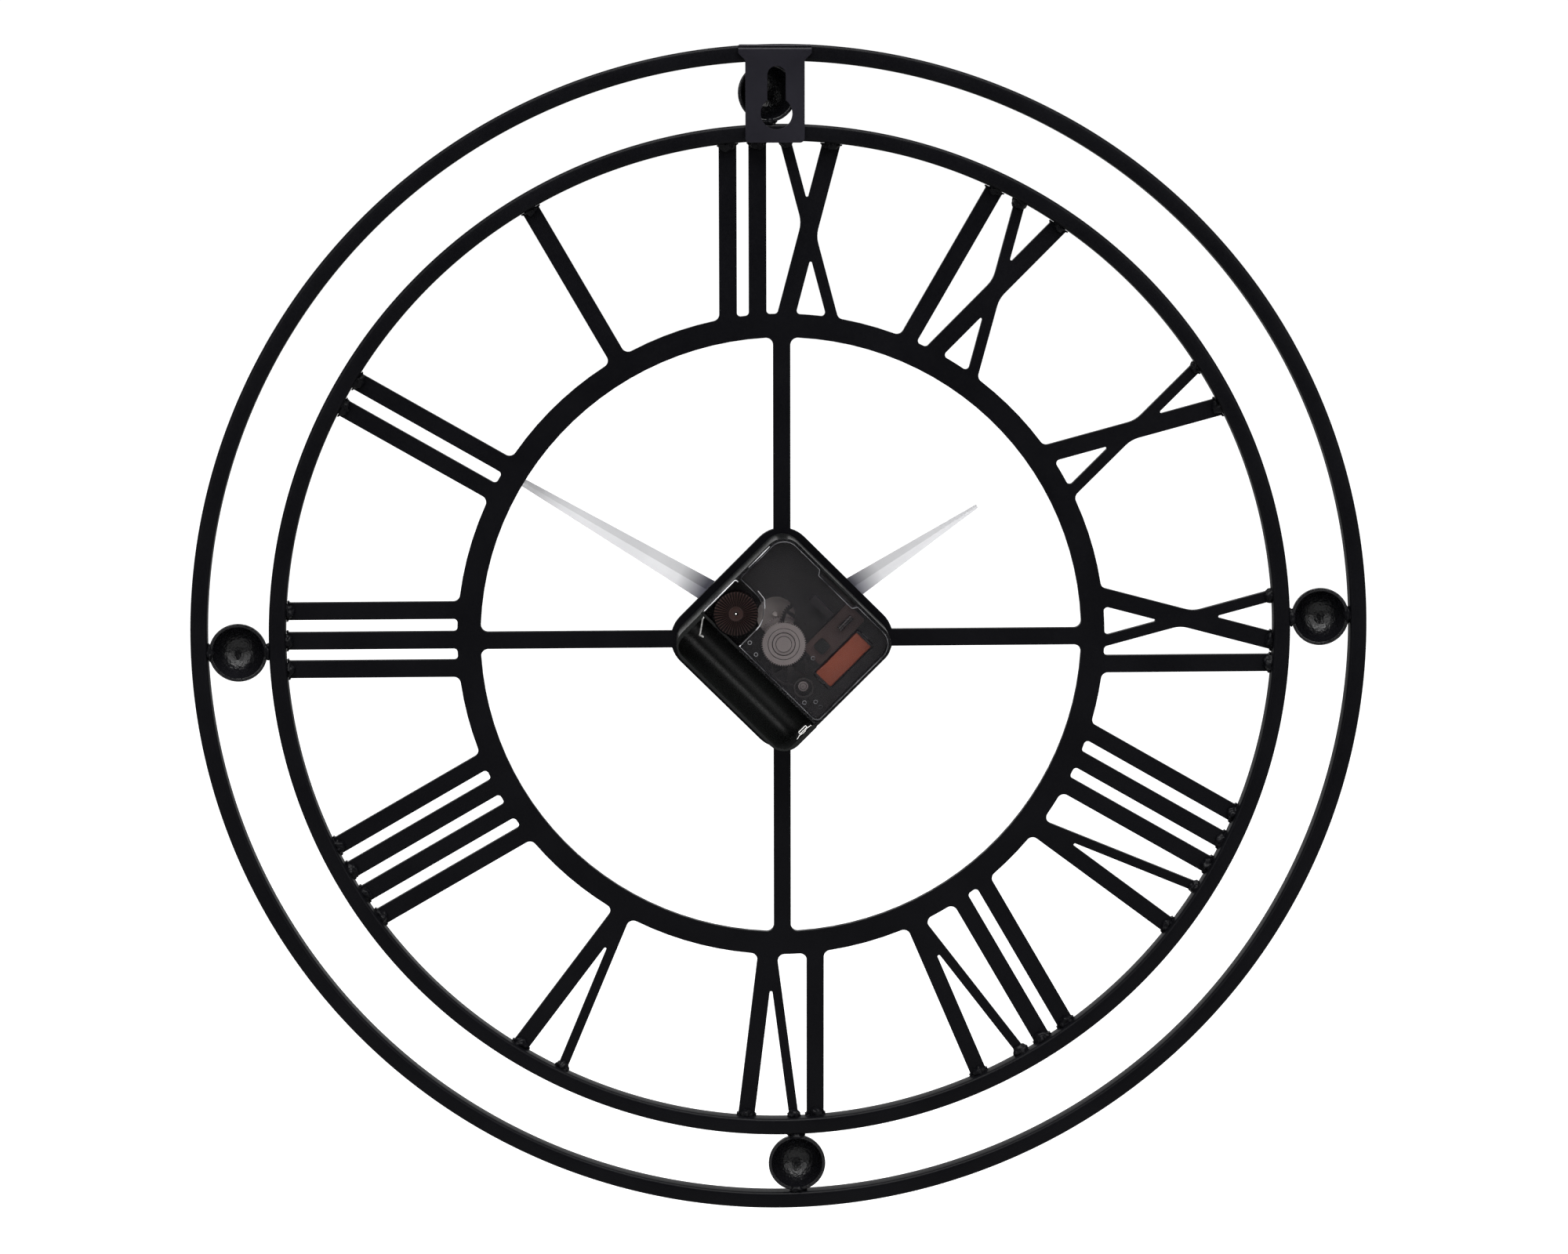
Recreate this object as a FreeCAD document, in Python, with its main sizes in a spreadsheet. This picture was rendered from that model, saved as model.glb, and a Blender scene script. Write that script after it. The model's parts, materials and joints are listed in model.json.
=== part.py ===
import FreeCAD, Part
import Sketcher
import math
import os
import re

# Wall clock: a skeleton dial of black steel with a quartz movement behind it.
#
# Every piece is drawn in the dial's own frame: x to the right and y up as seen from the
# front, z towards the front, with the hands' axis at x = y = 0 and z = 0 on the rear face
# of the hanger. CLOCK turns that frame upright, so the finished clock faces -Y with +Z up
# and its origin where the screw's shank sits in the keyhole slot.

SIZES = [
    # hanger: a flat steel plate with a keyhole, welded to the rear of both rings
    ("hanger_sheet", 1.5), ("hanger_width", 20.0), ("hanger_flare", 2.35), ("hanger_offset", 2.4),
    ("hanger_foot", 0.6), ("hanger_drop", 0.2), ("hanger_shoulder", 5.3), ("hanger_corner", 1.6),
    ("hanger_edge", 1.3), ("slot_width", 6.2), ("keyhole_radius", 5.35), ("keyhole_travel", 12.7),
    ("slot_height", 192.5), ("slot_offset", 1.9),
    # rings: square bar rolled into hoops
    ("outer_ring_radius", 203.0), ("inner_ring_radius", 176.3), ("bar_width", 5.7),
    ("bar_depth", 6.4), ("bar_corner", 1.1),
    # dial: one laser-cut sheet with the numerals, the hour band, the cross and the centre plate
    ("dial_sheet", 2.0), ("band_outer_radius", 112.0), ("band_inner_radius", 104.0),
    ("spoke_width", 5.9), ("spoke_fillet", 2.5), ("centre_side", 60.8), ("centre_corner", 11.0),
    ("dial_hole_radius", 4.2), ("bar_stroke", 6.0), ("thick_stroke", 6.1), ("thin_stroke", 3.75),
    ("vee_thick_stroke", 5.7), ("vee_thin_stroke", 3.3), ("crossing_radius", 140.7),
    ("thick_lean", 14.9), ("thin_lean", 14.95), ("vee_radius", 130.0), ("vee_half_spread", 3.3),
    ("vee_thick_lean", 6.95), ("vee_thin_lean", 7.4), ("root_fillet", 2.4), ("slot_fillet", 1.3),
    ("waist_fillet", 10.0), ("crotch_fillet", 0.5), ("foot_flare", 0.6), ("foot_height", 0.5),
    ("foot_fillet", 0.5), ("weld_root_gap", 0.1), ("bead_radius", 3.0),
    # hollow half balls between the rings
    ("ball_radius", 10.0), ("ball_wall", 1.2), ("ball_set_back", 0.9), ("ball_turn", 1.5),
    ("side_ball_lift", 0.55),
    ("lump_radius", 3.4), ("lump_rise", 1.4),
    # movement: case, cover and the plate between them
    ("gasket_sheet", 0.8), ("gasket_radius", 12.0), ("case_side", 56.0), ("case_depth", 15.4),
    ("cover_sheet", 1.2), ("front_wall", 1.2), ("side_wall", 0.8), ("case_corner", 7.0),
    ("battery_radius", 7.4), ("battery_wall", 1.0), ("battery_floor", 1.4),
    ("battery_end_wall", 1.4), ("battery_corner", 4.4), ("bay_reach", 8.4), ("bay_floor", 0.8), ("bay_depth", 4.9), ("clip_notch", 1.8), ("clip_length", 17.5),
    ("plate_sheet", 0.8), ("plate_level", -4.6), ("plate_margin", 0.4), ("post_radius", 1.5),
    # centre stack
    ("bush_radius", 4.0), ("bush_reach", 4.3), ("bush_flange", 5.4), ("washer_sheet", 0.5),
    ("washer_radius", 7.5), ("nut_flats", 11.0), ("nut_height", 2.0), ("hour_tube_radius", 2.5),
    ("minute_tube_radius", 1.5), ("arbor_radius", 0.5), ("running_gap", 0.08), ("pivot_gap", 0.05),
    ("hour_hand_level", 13.5), ("minute_hand_level", 17.0), ("hand_sheet", 0.5),
    ("hand_ridge", 0.9), ("hand_shoulder", 26.0), ("hand_tail", 20.0), ("hand_hub_radius", 4.6),
    ("hour_hand_length", 81.5), ("hour_hand_width", 8.4), ("hour_tip_width", 1.4),
    ("minute_hand_length", 114.0), ("minute_hand_width", 8.5), ("minute_tip_width", 1.9),
    ("minute_angle", 59.0), ("hour_angle", 303.3),
    ("collet_wall", 1.1), ("collet_height", 1.0), ("cap_radius", 3.2), ("cap_height", 2.2),
    # wheels and motor; angles run from the movement's own u axis
    ("backlash", 0.08), ("motion_distance", 9.8), ("seconds_module", 0.25), ("rotor_module", 0.264),
    ("knob_u", 19.3), ("knob_v", -3.9), ("knob_radius", 7.6), ("knob_height", 4.0),
    ("knob_shaft_radius", 1.5), ("intermediate_angle", 210.4), ("rotor_angle", 190.0),
    ("third_angle", 95.0), ("pivot_radius", 0.35), ("knob_clearance", 0.35),
    ("magnet_radius", 2.2), ("magnet_height", 2.0), ("stator_gap", 0.6),
    ("stator_sheet", 0.8), ("coil_u", -18.8), ("coil_v", 10.4), ("coil_length", 21.2),
    ("coil_width", 7.2), ("coil_height", 5.6), ("core_width", 3.0), ("flange_sheet", 0.8),
    ("board_width", 8.4), ("board_length", 22.0), ("board_sheet", 0.8),
]

doc = FreeCAD.newDocument("WallClock")
sheet = doc.addObject("Spreadsheet::Sheet", "Sizes")
for row, (alias, number) in enumerate(SIZES, start=1):
    sheet.set("A%d" % row, alias.replace("_", " "))
    sheet.set("B%d" % row, str(number))
    sheet.setAlias("B%d" % row, alias)
doc.recompute()
ALIASES = {alias for alias, number in SIZES}

# levels along z, as formulas of the sheet's values
DIAL_REAR = "hanger_sheet + bar_depth - dial_sheet"
CASE_FRONT = "hanger_sheet + bar_depth - dial_sheet - gasket_sheet"
CASE_INSIDE = CASE_FRONT + " - front_wall"
CASE_REAR = CASE_FRONT + " - case_depth"
COVER_SEAT = CASE_FRONT + " - case_depth + cover_sheet"


def formula(text):
    """The formula as the document reads it: every alias with the sheet's name before it."""
    def with_sheet(word):
        return "Sizes." + word.group() if word.group() in ALIASES else word.group()
    return re.sub(r"[a-z]\w+", with_sheet, str(text))


def bind(piece, **formulas):
    """Bind properties to formulas; x, y and z are the placement's own."""
    for name, text in formulas.items():
        target = "Placement.Base." + name if name in ("x", "y", "z") else name
        piece.setExpression(target, formula(text))
    return piece


def number(text):
    """The value of a sum of aliases and plain numbers, such as 'bar_width - 1.5'."""
    total = 0.0
    for sign, word in re.findall(r"([+-]?)\s*([a-z]\w+|[\d.]+)", text):
        term = getattr(sheet, word) if word in ALIASES else float(word)
        total += -term if sign == "-" else term
    return total


def rotated(point, degrees):
    turn = math.radians(degrees)
    x, y = point
    return (x * math.cos(turn) - y * math.sin(turn), x * math.sin(turn) + y * math.cos(turn))


def spin(degrees):
    return FreeCAD.Rotation(FreeCAD.Vector(0, 0, 1), degrees)


def cylinder(radius, height, x="0", y="0", z="0"):
    piece = doc.addObject("Part::Cylinder", "Round")
    return bind(piece, Radius=radius, Height=height, x=x, y=y, z=z)


def box(length, width, height, x="0", y="0", z="0"):
    piece = doc.addObject("Part::Box", "Block")
    return bind(piece, Length=length, Width=width, Height=height, x=x, y=y, z=z)


def fuse(*pieces):
    joined = doc.addObject("Part::MultiFuse", "Joined")
    joined.Shapes = list(pieces)
    joined.Refine = True
    return joined


def cut(base, *tools):
    result = doc.addObject("Part::Cut", "Cut")
    result.Base = base
    result.Tool = tools[0] if len(tools) == 1 else fuse(*tools)
    return result


def common(base, tool):
    result = doc.addObject("Part::Common", "Shared")
    result.Base = base
    result.Tool = tool
    return result


def rounded(base, radius_of):
    """Fillet the edges for which radius_of(edge) gives a radius."""
    doc.recompute()
    result = doc.addObject("Part::Fillet", "Rounded")
    result.Base = base
    edges = []
    for index, edge in enumerate(base.Shape.Edges, start=1):
        radius = radius_of(edge)
        if radius:
            edges.append((index, radius, radius))
    result.Edges = edges
    return result


def upright(edge):
    """Is this a straight edge along z?"""
    if edge.Curve.TypeId != "Part::GeomLine":
        return False
    return abs(edge.Curve.Direction.z) > 0.999


def solid(shape):
    """A document object for a shape that no primitive gives, such as a toothed wheel."""
    piece = doc.addObject("Part::Feature", "Made")
    piece.Shape = shape
    return piece


def prism(points, bottom, top):
    corners = [FreeCAD.Vector(x, y, bottom) for x, y in points]
    return Part.Face(Part.makePolygon(corners + corners[:1])).extrude(FreeCAD.Vector(0, 0, top - bottom))


def disc(radius, bottom, top, x=0.0, y=0.0):
    return Part.makeCylinder(radius, top - bottom, FreeCAD.Vector(x, y, bottom))


doc.recompute()
CLOCK = FreeCAD.Placement(
    FreeCAD.Vector(-sheet.slot_offset, 0, -sheet.slot_height),
    FreeCAD.Rotation(FreeCAD.Vector(1, 0, 0), 90),
)
MOVEMENT = CLOCK * FreeCAD.Placement(FreeCAD.Vector(0, 0, 0), spin(45))
nodes = []


def node(label, piece, place=CLOCK):
    """Name a finished sub-part and put it where it belongs on the clock."""
    piece.Label = label
    piece.Placement = place
    nodes.append(piece)
    return piece


# ---- rings: square bar rolled into hoops, edges rounded ------------------------------------

def ring(label, outer_radius):
    body = doc.addObject("PartDesign::Body", label)
    section = body.newObject("Sketcher::SketchObject", label + "_section")
    plane = [face for face in body.Origin.OriginFeatures if face.Role == "XZ_Plane"][0]
    section.AttachmentSupport = [(plane, "")]
    section.MapMode = "FlatFace"
    corners = [FreeCAD.Vector(*xy, 0) for xy in ((100, 1), (110, 1), (110, 9), (100, 9))]
    for start, end in zip(corners, corners[1:] + corners[:1]):
        section.addGeometry(Part.LineSegment(start, end), False)
    for line in range(4):
        section.addConstraint(Sketcher.Constraint("Coincident", line, 2, (line + 1) % 4, 1))
    for line, way in enumerate(("Horizontal", "Vertical", "Horizontal", "Vertical")):
        section.addConstraint(Sketcher.Constraint(way, line))
    driving = (
        ("DistanceX", (0, 1, 0, 2), "bar_width"),
        ("DistanceY", (1, 1, 1, 2), "bar_depth"),
        ("DistanceX", (-1, 1, 0, 2), outer_radius),
        ("DistanceY", (-1, 1, 0, 1), "hanger_sheet"),
    )
    for kind, points, size in driving:
        index = section.addConstraint(Sketcher.Constraint(kind, *points, number(size)))
        section.setExpression("Constraints[%d]" % index, formula(size))
    hoop = body.newObject("PartDesign::Revolution", label + "_hoop")
    hoop.Profile = section
    hoop.ReferenceAxis = (section, ["V_Axis"])
    hoop.Angle = 360
    doc.recompute()
    edge = body.newObject("PartDesign::Fillet", label + "_rounding")
    edge.Base = (hoop, ["Edge%d" % (i + 1) for i, e in enumerate(hoop.Shape.Edges)
                        if e.Curve.TypeId == "Part::GeomCircle"])
    bind(edge, Radius="bar_corner")
    return node(label, body)


ring("outer_ring", "outer_ring_radius")
ring("inner_ring", "inner_ring_radius")

# ---- dial: laser-cut sheet --------------------------------------------------------------

# Each numeral stands with its feet on the hour band. Offsets run clockwise from the numeral's
# own hour line: I is a bar, X a cross at its crossing, V a vee at its middle.
NUMERALS = {
    12: (("X", -9.3), ("I", 8.2), ("I", 18.3)),
    1: (("I", 0.0),),
    2: (("I", -5.3), ("I", 5.0)),
    3: (("I", -10.6), ("I", -0.3), ("I", 9.6)),
    4: (("I", -15.1), ("I", -5.4), ("I", 4.3), ("I", 14.1)),
    5: (("V", 0.4),),
    6: (("V", -4.6), ("I", 11.5)),
    7: (("V", -9.7), ("I", 7.6), ("I", 17.5)),
    8: (("V", -13.4), ("I", 4.1), ("I", 14.1), ("I", 24.3)),
    9: (("I", -9.9), ("X", 5.8)),
    10: (("X", 1.4),),
    11: (("X", -3.5), ("I", 14.1)),
}
end_radius = number("inner_ring_radius - bar_width - weld_root_gap")
band_radius = sheet.band_outer_radius


class Side:
    """One straight side of a stroke: x = at + slope * (y - from_y); out is -1 left, +1 right."""

    def __init__(self, x, from_y, lean, width, out):
        self.slope = -math.tan(math.radians(lean))
        self.at = x + out * width / 2 / math.cos(math.radians(lean))
        self.from_y = from_y
        self.out = out

    def x(self, y):
        return self.at + self.slope * (y - self.from_y)

    def on_circle(self, radius):
        """Where the side meets a circle round the hands' axis."""
        a = 1 + self.slope ** 2
        shift = self.at - self.slope * self.from_y
        b = self.slope * shift
        y = (-b + math.sqrt(b * b - a * (shift ** 2 - radius ** 2))) / a
        return (self.x(y), y)

    def moved(self, distance):
        """The same side moved outwards by a distance."""
        shift = self.out * distance * math.hypot(1, self.slope)
        other = Side(0, self.from_y, 0, 0, self.out)
        other.slope = self.slope
        other.at = self.at + shift
        return other

    def meet(self, other):
        ahead = other.at - other.slope * other.from_y - self.at + self.slope * self.from_y
        y = ahead / (self.slope - other.slope)
        return (self.x(y), y)


def side_pair(kind, offset):
    """The letter's strokes as (left side, right side) pairs."""
    if kind == "I":
        lines = [(offset, sheet.crossing_radius, 0.0, sheet.bar_stroke)]
    elif kind == "X":
        lines = [(offset, sheet.crossing_radius, sheet.thick_lean, sheet.thick_stroke),
                 (offset, sheet.crossing_radius, -sheet.thin_lean, sheet.thin_stroke)]
    else:
        spread = sheet.vee_half_spread
        lines = [(offset - spread, sheet.vee_radius, sheet.vee_thick_lean, sheet.vee_thick_stroke),
                 (offset + spread, sheet.vee_radius, -sheet.vee_thin_lean, sheet.vee_thin_stroke)]
    return [(Side(*line, -1), Side(*line, 1)) for line in lines]


def foot(left, right):
    """The flared end of a stroke against the inner ring, as corners with their radii."""
    corners = []
    for side in (left, right):
        waist = side.on_circle(end_radius - sheet.foot_height)
        toe = side.moved(sheet.foot_flare).on_circle(end_radius - sheet.foot_height)
        heel = side.moved(sheet.foot_flare).on_circle(end_radius)
        run = [(waist, sheet.foot_fillet), (toe, 0), (heel, 0)]
        corners += run if side is left else run[::-1]
    return corners


def root(side, radius):
    """The fillet where a side leaves the hour band: its end on the band, a point, its other end."""
    x, y = side.moved(radius).on_circle(band_radius + radius)
    along = math.hypot(1, side.slope)
    on_line = (x - side.out * radius / along, y + side.out * radius * side.slope / along)
    share = band_radius / (band_radius + radius)
    on_band = (x * share, y * share)
    chord = ((on_line[0] + on_band[0]) / 2 - x, (on_line[1] + on_band[1]) / 2 - y)
    reach = radius / math.hypot(*chord)
    return on_band, (x + chord[0] * reach, y + chord[1] * reach), on_line


class Pen:
    """Draws a chain of lines and arcs in a numeral's own frame, turned to its hour."""

    def __init__(self):
        self.edges = []
        self.here = None
        self.turn = 0.0

    def place(self, point):
        return FreeCAD.Vector(*rotated(point, self.turn), 0)

    def line(self, point):
        there = self.place(point)
        if self.here is not None and self.here.distanceToPoint(there) > 1e-6:
            self.edges.append(Part.LineSegment(self.here, there).toShape())
        self.here = there

    def arc(self, middle, point):
        there = self.place(point)
        self.edges.append(Part.Arc(self.here, self.place(middle), there).toShape())
        self.here = there

    def band(self, point):
        """Along the hour band's edge to a point."""
        there = self.place(point)
        if self.here is not None:
            middle = (self.here + there).normalize() * band_radius
            self.edges.append(Part.Arc(self.here, middle, there).toShape())
        self.here = there

    def corners(self, start, run, end):
        """Through a run of (corner, radius) from a start point to an end point."""
        points = [start] + [corner for corner, radius in run] + [end]
        self.line(start)
        for index, (corner, radius) in enumerate(run, start=1):
            if not radius:
                self.line(corner)
                continue
            legs = []
            for other in (points[index - 1], points[index + 1]):
                away = (other[0] - corner[0], other[1] - corner[1])
                size = math.hypot(*away)
                legs.append((away[0] / size, away[1] / size))
            opening = math.acos(legs[0][0] * legs[1][0] + legs[0][1] * legs[1][1])
            back = radius / math.tan(opening / 2)
            entry, leave = [(corner[0] + leg[0] * back, corner[1] + leg[1] * back) for leg in legs]
            bisector = (legs[0][0] + legs[1][0], legs[0][1] + legs[1][1])
            share = (radius / math.sin(opening / 2) - radius) / math.hypot(*bisector)
            self.line(entry)
            self.arc((corner[0] + bisector[0] * share, corner[1] + bisector[1] * share), leave)
        self.line(end)


letters = []
stroke_angles = []
for hour in (12, 1, 2, 3, 4, 5, 6, 7, 8, 9, 10, 11):
    for kind, offset in NUMERALS[hour]:
        pairs = side_pair(kind, offset)
        for left, right in pairs:
            x = (left.on_circle(end_radius)[0] + right.on_circle(end_radius)[0]) / 2
            stroke_angles.append(-30.0 * hour - math.degrees(math.asin(x / end_radius)))
        first, last = (pairs[-1][0], pairs[0][1]) if kind == "X" else (pairs[0][0], pairs[-1][1])
        letters.append((hour, kind, pairs, first, last))


def band_gap(right, right_hour, left, left_hour):
    """The width between two neighbouring letters where they leave the band."""
    start = math.asin(right.on_circle(band_radius)[0] / band_radius)
    end = math.asin(left.on_circle(band_radius)[0] / band_radius)
    return band_radius * (end - start + math.radians(30 * ((left_hour - right_hour) % 12)))


pen = Pen()
holes = []
outline_start = None
for index, (hour, kind, pairs, first, last) in enumerate(letters):
    before = letters[index - 1]
    after = letters[(index + 1) % len(letters)]
    room = 3 * sheet.root_fillet
    before_gap = band_gap(before[4], before[0], first, hour)
    after_gap = band_gap(last, hour, after[3], after[0])
    rise = root(first, sheet.root_fillet if before_gap > room else sheet.slot_fillet)
    fall = root(last, sheet.root_fillet if after_gap > room else sheet.slot_fillet)
    pen.turn = -30.0 * hour
    pen.band(rise[0])
    outline_start = outline_start or pen.here
    pen.arc(rise[1], rise[2])
    run = []
    if kind == "I":
        run = foot(*pairs[0])
    else:
        thick, thin = pairs
        if kind == "X":
            run.append((thin[0].meet(thick[0]), sheet.waist_fillet))
        run += foot(*thick)
        run.append((thick[1].meet(thin[0]), sheet.crotch_fillet))
        run += foot(*thin)
        if kind == "X":
            run.append((thin[1].meet(thick[1]), sheet.waist_fillet))
            inner_left = root(thin[1], sheet.slot_fillet)
            inner_right = root(thick[0], sheet.slot_fillet)
            hole = Pen()
            hole.turn = pen.turn
            hole.line(inner_left[2])
            hole.arc(inner_left[1], inner_left[0])
            hole.band(inner_right[0])
            hole.arc(inner_right[1], inner_right[2])
            crotch = thin[1].meet(thick[0])
            hole.corners(inner_right[2], [(crotch, sheet.crotch_fillet)], inner_left[2])
            holes.append(Part.Wire(hole.edges))
    pen.corners(rise[2], run, fall[2])
    pen.arc(fall[1], fall[0])
pen.turn = 0.0
pen.band((outline_start.x, outline_start.y))

rim = Part.Face(Part.Wire(pen.edges))
face = rim.cut([Part.Face(wire) for wire in holes])
numerals = solid(face.extrude(FreeCAD.Vector(0, 0, sheet.dial_sheet)))
bind(numerals, z=DIAL_REAR)

# the four openings between the hour band and the cross
spokes = [
    box("2 * band_inner_radius + 4", "spoke_width", "dial_sheet + 2",
        x="-band_inner_radius - 2", y="-spoke_width / 2", z=DIAL_REAR + " - 1"),
    box("spoke_width", "2 * band_inner_radius + 4", "dial_sheet + 2",
        x="-spoke_width / 2", y="-band_inner_radius - 2", z=DIAL_REAR + " - 1"),
]
centre = rounded(box("centre_side", "centre_side", "dial_sheet + 2"),
                 lambda edge: sheet.centre_corner if upright(edge) else None)
centre.Placement = FreeCAD.Placement(
    FreeCAD.Vector(0, 0, number(DIAL_REAR) - 1), spin(45)) * FreeCAD.Placement(
    FreeCAD.Vector(-sheet.centre_side / 2, -sheet.centre_side / 2, 0), spin(0))
openings = cut(cylinder("band_inner_radius", "dial_sheet + 2", z=DIAL_REAR + " - 1"),
               centre, *spokes)


def opening_fillet(edge):
    if not upright(edge):
        return None
    here = edge.CenterOfMass
    near_band = math.hypot(here.x, here.y) > sheet.band_inner_radius - 1
    return sheet.spoke_fillet if near_band else None


node("dial_plate", cut(numerals, rounded(openings, opening_fillet),
                       cylinder("dial_hole_radius", "dial_sheet + 2", z=DIAL_REAR + " - 1")))

# ---- weld beads behind the stroke ends, in the corner with the inner ring ----------------------

wall_radius = number("inner_ring_radius - bar_width")
bead = Part.makeSphere(sheet.bead_radius, FreeCAD.Vector(0, wall_radius, 0))
bead = bead.common(disc(wall_radius, -2 * sheet.bead_radius, 0))
bead = max(bead.Solids, key=lambda part: part.Volume)
beads = []
for angle in stroke_angles:
    copy = bead.copy()
    copy.rotate(FreeCAD.Vector(0, 0, 0), FreeCAD.Vector(0, 0, 1), angle)
    beads.append(copy)
node("numeral_welds", solid(Part.makeCompound(beads)),
     CLOCK * FreeCAD.Placement(FreeCAD.Vector(0, 0, number(DIAL_REAR)), spin(0)))

# ---- half balls and the weld lumps that hold them -----------------------------------------------

inner_radius = sheet.inner_ring_radius
outer_radius = number("outer_ring_radius - bar_width")
ball_circle = (inner_radius + outer_radius) / 2
rim_level = number("hanger_sheet + ball_set_back")
lumps = []
annulus = disc(outer_radius, sheet.hanger_sheet, 20).cut(disc(inner_radius, 0, 20))
side_lift = sheet.side_ball_lift
for name, clock_angle in (("top", 0), ("right", 90 - side_lift), ("bottom", 180), ("left", 270 + side_lift)):
    turn = -clock_angle - sheet.ball_turn
    shell = doc.addObject("Part::Sphere", "Ball")
    bind(shell, Radius="ball_radius", Angle1="0", Angle2="90", Angle3="360")
    hollow = doc.addObject("Part::Sphere", "Hollow")
    bind(hollow, Radius="ball_radius - ball_wall", Angle1="-90", Angle2="90", Angle3="360")
    place = CLOCK * FreeCAD.Placement(FreeCAD.Vector(0, 0, rim_level), spin(turn)) * FreeCAD.Placement(
        FreeCAD.Vector(0, ball_circle, 0), spin(0))
    node("half_ball_" + name, cut(shell, hollow), place)
    for reach in (inner_radius, outer_radius):
        lump = Part.makeSphere(sheet.lump_radius, FreeCAD.Vector(0, reach, rim_level + sheet.lump_rise))
        ball = Part.makeSphere(sheet.ball_radius, FreeCAD.Vector(0, ball_circle, rim_level))
        below = disc(sheet.ball_radius, rim_level - 9, rim_level, 0, ball_circle)
        lump = lump.common(annulus).cut([ball, below])
        lump = max(lump.Solids, key=lambda part: part.Volume)
        lump.rotate(FreeCAD.Vector(0, 0, 0), FreeCAD.Vector(0, 0, 1), turn)
        lumps.append(lump)
node("half_ball_welds", solid(Part.makeCompound(lumps)))

# ---- hanger plate with its keyhole --------------------------------------------------------------

half = sheet.hanger_width / 2
foot_y = number("inner_ring_radius - bar_width") - sheet.hanger_foot
top_y = sheet.outer_ring_radius - sheet.hanger_drop
flare_y = top_y - sheet.hanger_shoulder
wide = half + sheet.hanger_flare
outline = [(-half, foot_y), (half, foot_y), (half, flare_y), (wide, flare_y + sheet.hanger_flare),
           (wide, top_y), (-wide, top_y), (-wide, flare_y + sheet.hanger_flare), (-half, flare_y)]
blank = solid(prism([(x + sheet.hanger_offset, y) for x, y in outline], 0, sheet.hanger_sheet))


def hanger_rounding(edge):
    here = edge.CenterOfMass
    if upright(edge):
        return sheet.hanger_corner if here.y < flare_y - 1 else 0.6
    return sheet.hanger_edge if here.y > top_y - 0.01 and here.z < 0.01 else None


keyhole = fuse(
    cylinder("slot_width / 2", "hanger_sheet + 2", x="slot_offset", y="slot_height", z="-1"),
    box("slot_width", "keyhole_travel", "hanger_sheet + 2",
        x="slot_offset - slot_width / 2", y="slot_height - keyhole_travel", z="-1"),
    cylinder("keyhole_radius", "hanger_sheet + 2", x="slot_offset",
             y="slot_height - keyhole_travel", z="-1"))
node("hanger_plate", cut(rounded(blank, hanger_rounding), keyhole))

# ---- movement case ------------------------------------------------------------------------------
# The movement is drawn in its own frame, turned 45 degrees on the clock: u to the right and
# v up when the movement stands square.

front, inside = number(CASE_FRONT), number(CASE_INSIDE)
rear, seat = number(CASE_REAR), number(COVER_SEAT)
half_side = sheet.case_side / 2
room = half_side - sheet.side_wall
battery_v = -half_side + sheet.battery_wall + sheet.battery_radius
partition = battery_v + sheet.battery_radius + sheet.side_wall
channel_level = front - sheet.battery_floor - sheet.battery_radius
bay_bottom = rear + sheet.bay_depth


def block(u_low, u_high, v_low, v_high, low, high, corner=0.0):
    """A block between two corners, its upright edges rounded."""
    shape = Part.makeBox(u_high - u_low, v_high - v_low, high - low, FreeCAD.Vector(u_low, v_low, low))
    if corner:
        shape = shape.makeFillet(corner, [edge for edge in shape.Edges if upright(edge)])
    return shape


def within_walls(margin, low, high):
    """The space over the wheels inside the case's walls and the battery's, less a margin all round."""
    reach = room - margin
    rounded_space = block(-reach, reach, -reach, reach, low, high, sheet.case_corner - sheet.side_wall)
    return rounded_space.common(block(-reach, reach, partition + margin, reach, low, high))


def polar(radius, degrees, centre=(0.0, 0.0)):
    u, v = rotated((radius, 0.0), degrees)
    return (centre[0] + u, centre[1] + v)


# wheel centres, motion work first: the motion wheel meshes with the cannon pinion and the knob
TEETH = {"cannon": 12, "motion": 36, "motion_pinion": 10, "hour": 40, "knob": 32,
         "rotor": 10, "intermediate": 50, "intermediate_pinion": 10, "seconds": 60,
         "seconds_pinion": 8, "third": 60, "third_pinion": 8, "centre": 64}
distance = sheet.motion_distance
motion_module = 2 * distance / (TEETH["cannon"] + TEETH["motion"])
hour_module = 2 * distance / (TEETH["motion_pinion"] + TEETH["hour"])
third_module = 2 * distance / (TEETH["seconds_pinion"] + TEETH["third"])
centre_module = 2 * distance / (TEETH["third_pinion"] + TEETH["centre"])
knob_at = (sheet.knob_u, sheet.knob_v)
knob_reach = math.hypot(*knob_at)
knob_mesh = motion_module * (TEETH["motion"] + TEETH["knob"]) / 2
swing = math.degrees(math.acos((knob_reach ** 2 + distance ** 2 - knob_mesh ** 2)
                               / (2 * knob_reach * distance)))
motion_angle = math.degrees(math.atan2(sheet.knob_v, sheet.knob_u)) + swing
motion_at = polar(distance, motion_angle)
third_at = polar(distance, sheet.third_angle)
intermediate_mesh = sheet.seconds_module * (TEETH["seconds"] + TEETH["intermediate_pinion"]) / 2
intermediate_at = polar(intermediate_mesh, sheet.intermediate_angle)
rotor_mesh = sheet.rotor_module * (TEETH["rotor"] + TEETH["intermediate"]) / 2
rotor_at = polar(rotor_mesh, sheet.rotor_angle, intermediate_at)
pivot_hole = sheet.pivot_radius + sheet.pivot_gap
post_reach = room - 3.2
posts = [(-8.5, post_reach), (post_reach, post_reach), (-7.0, partition + 1.9), (8.8, partition + 2.3)]

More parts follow.
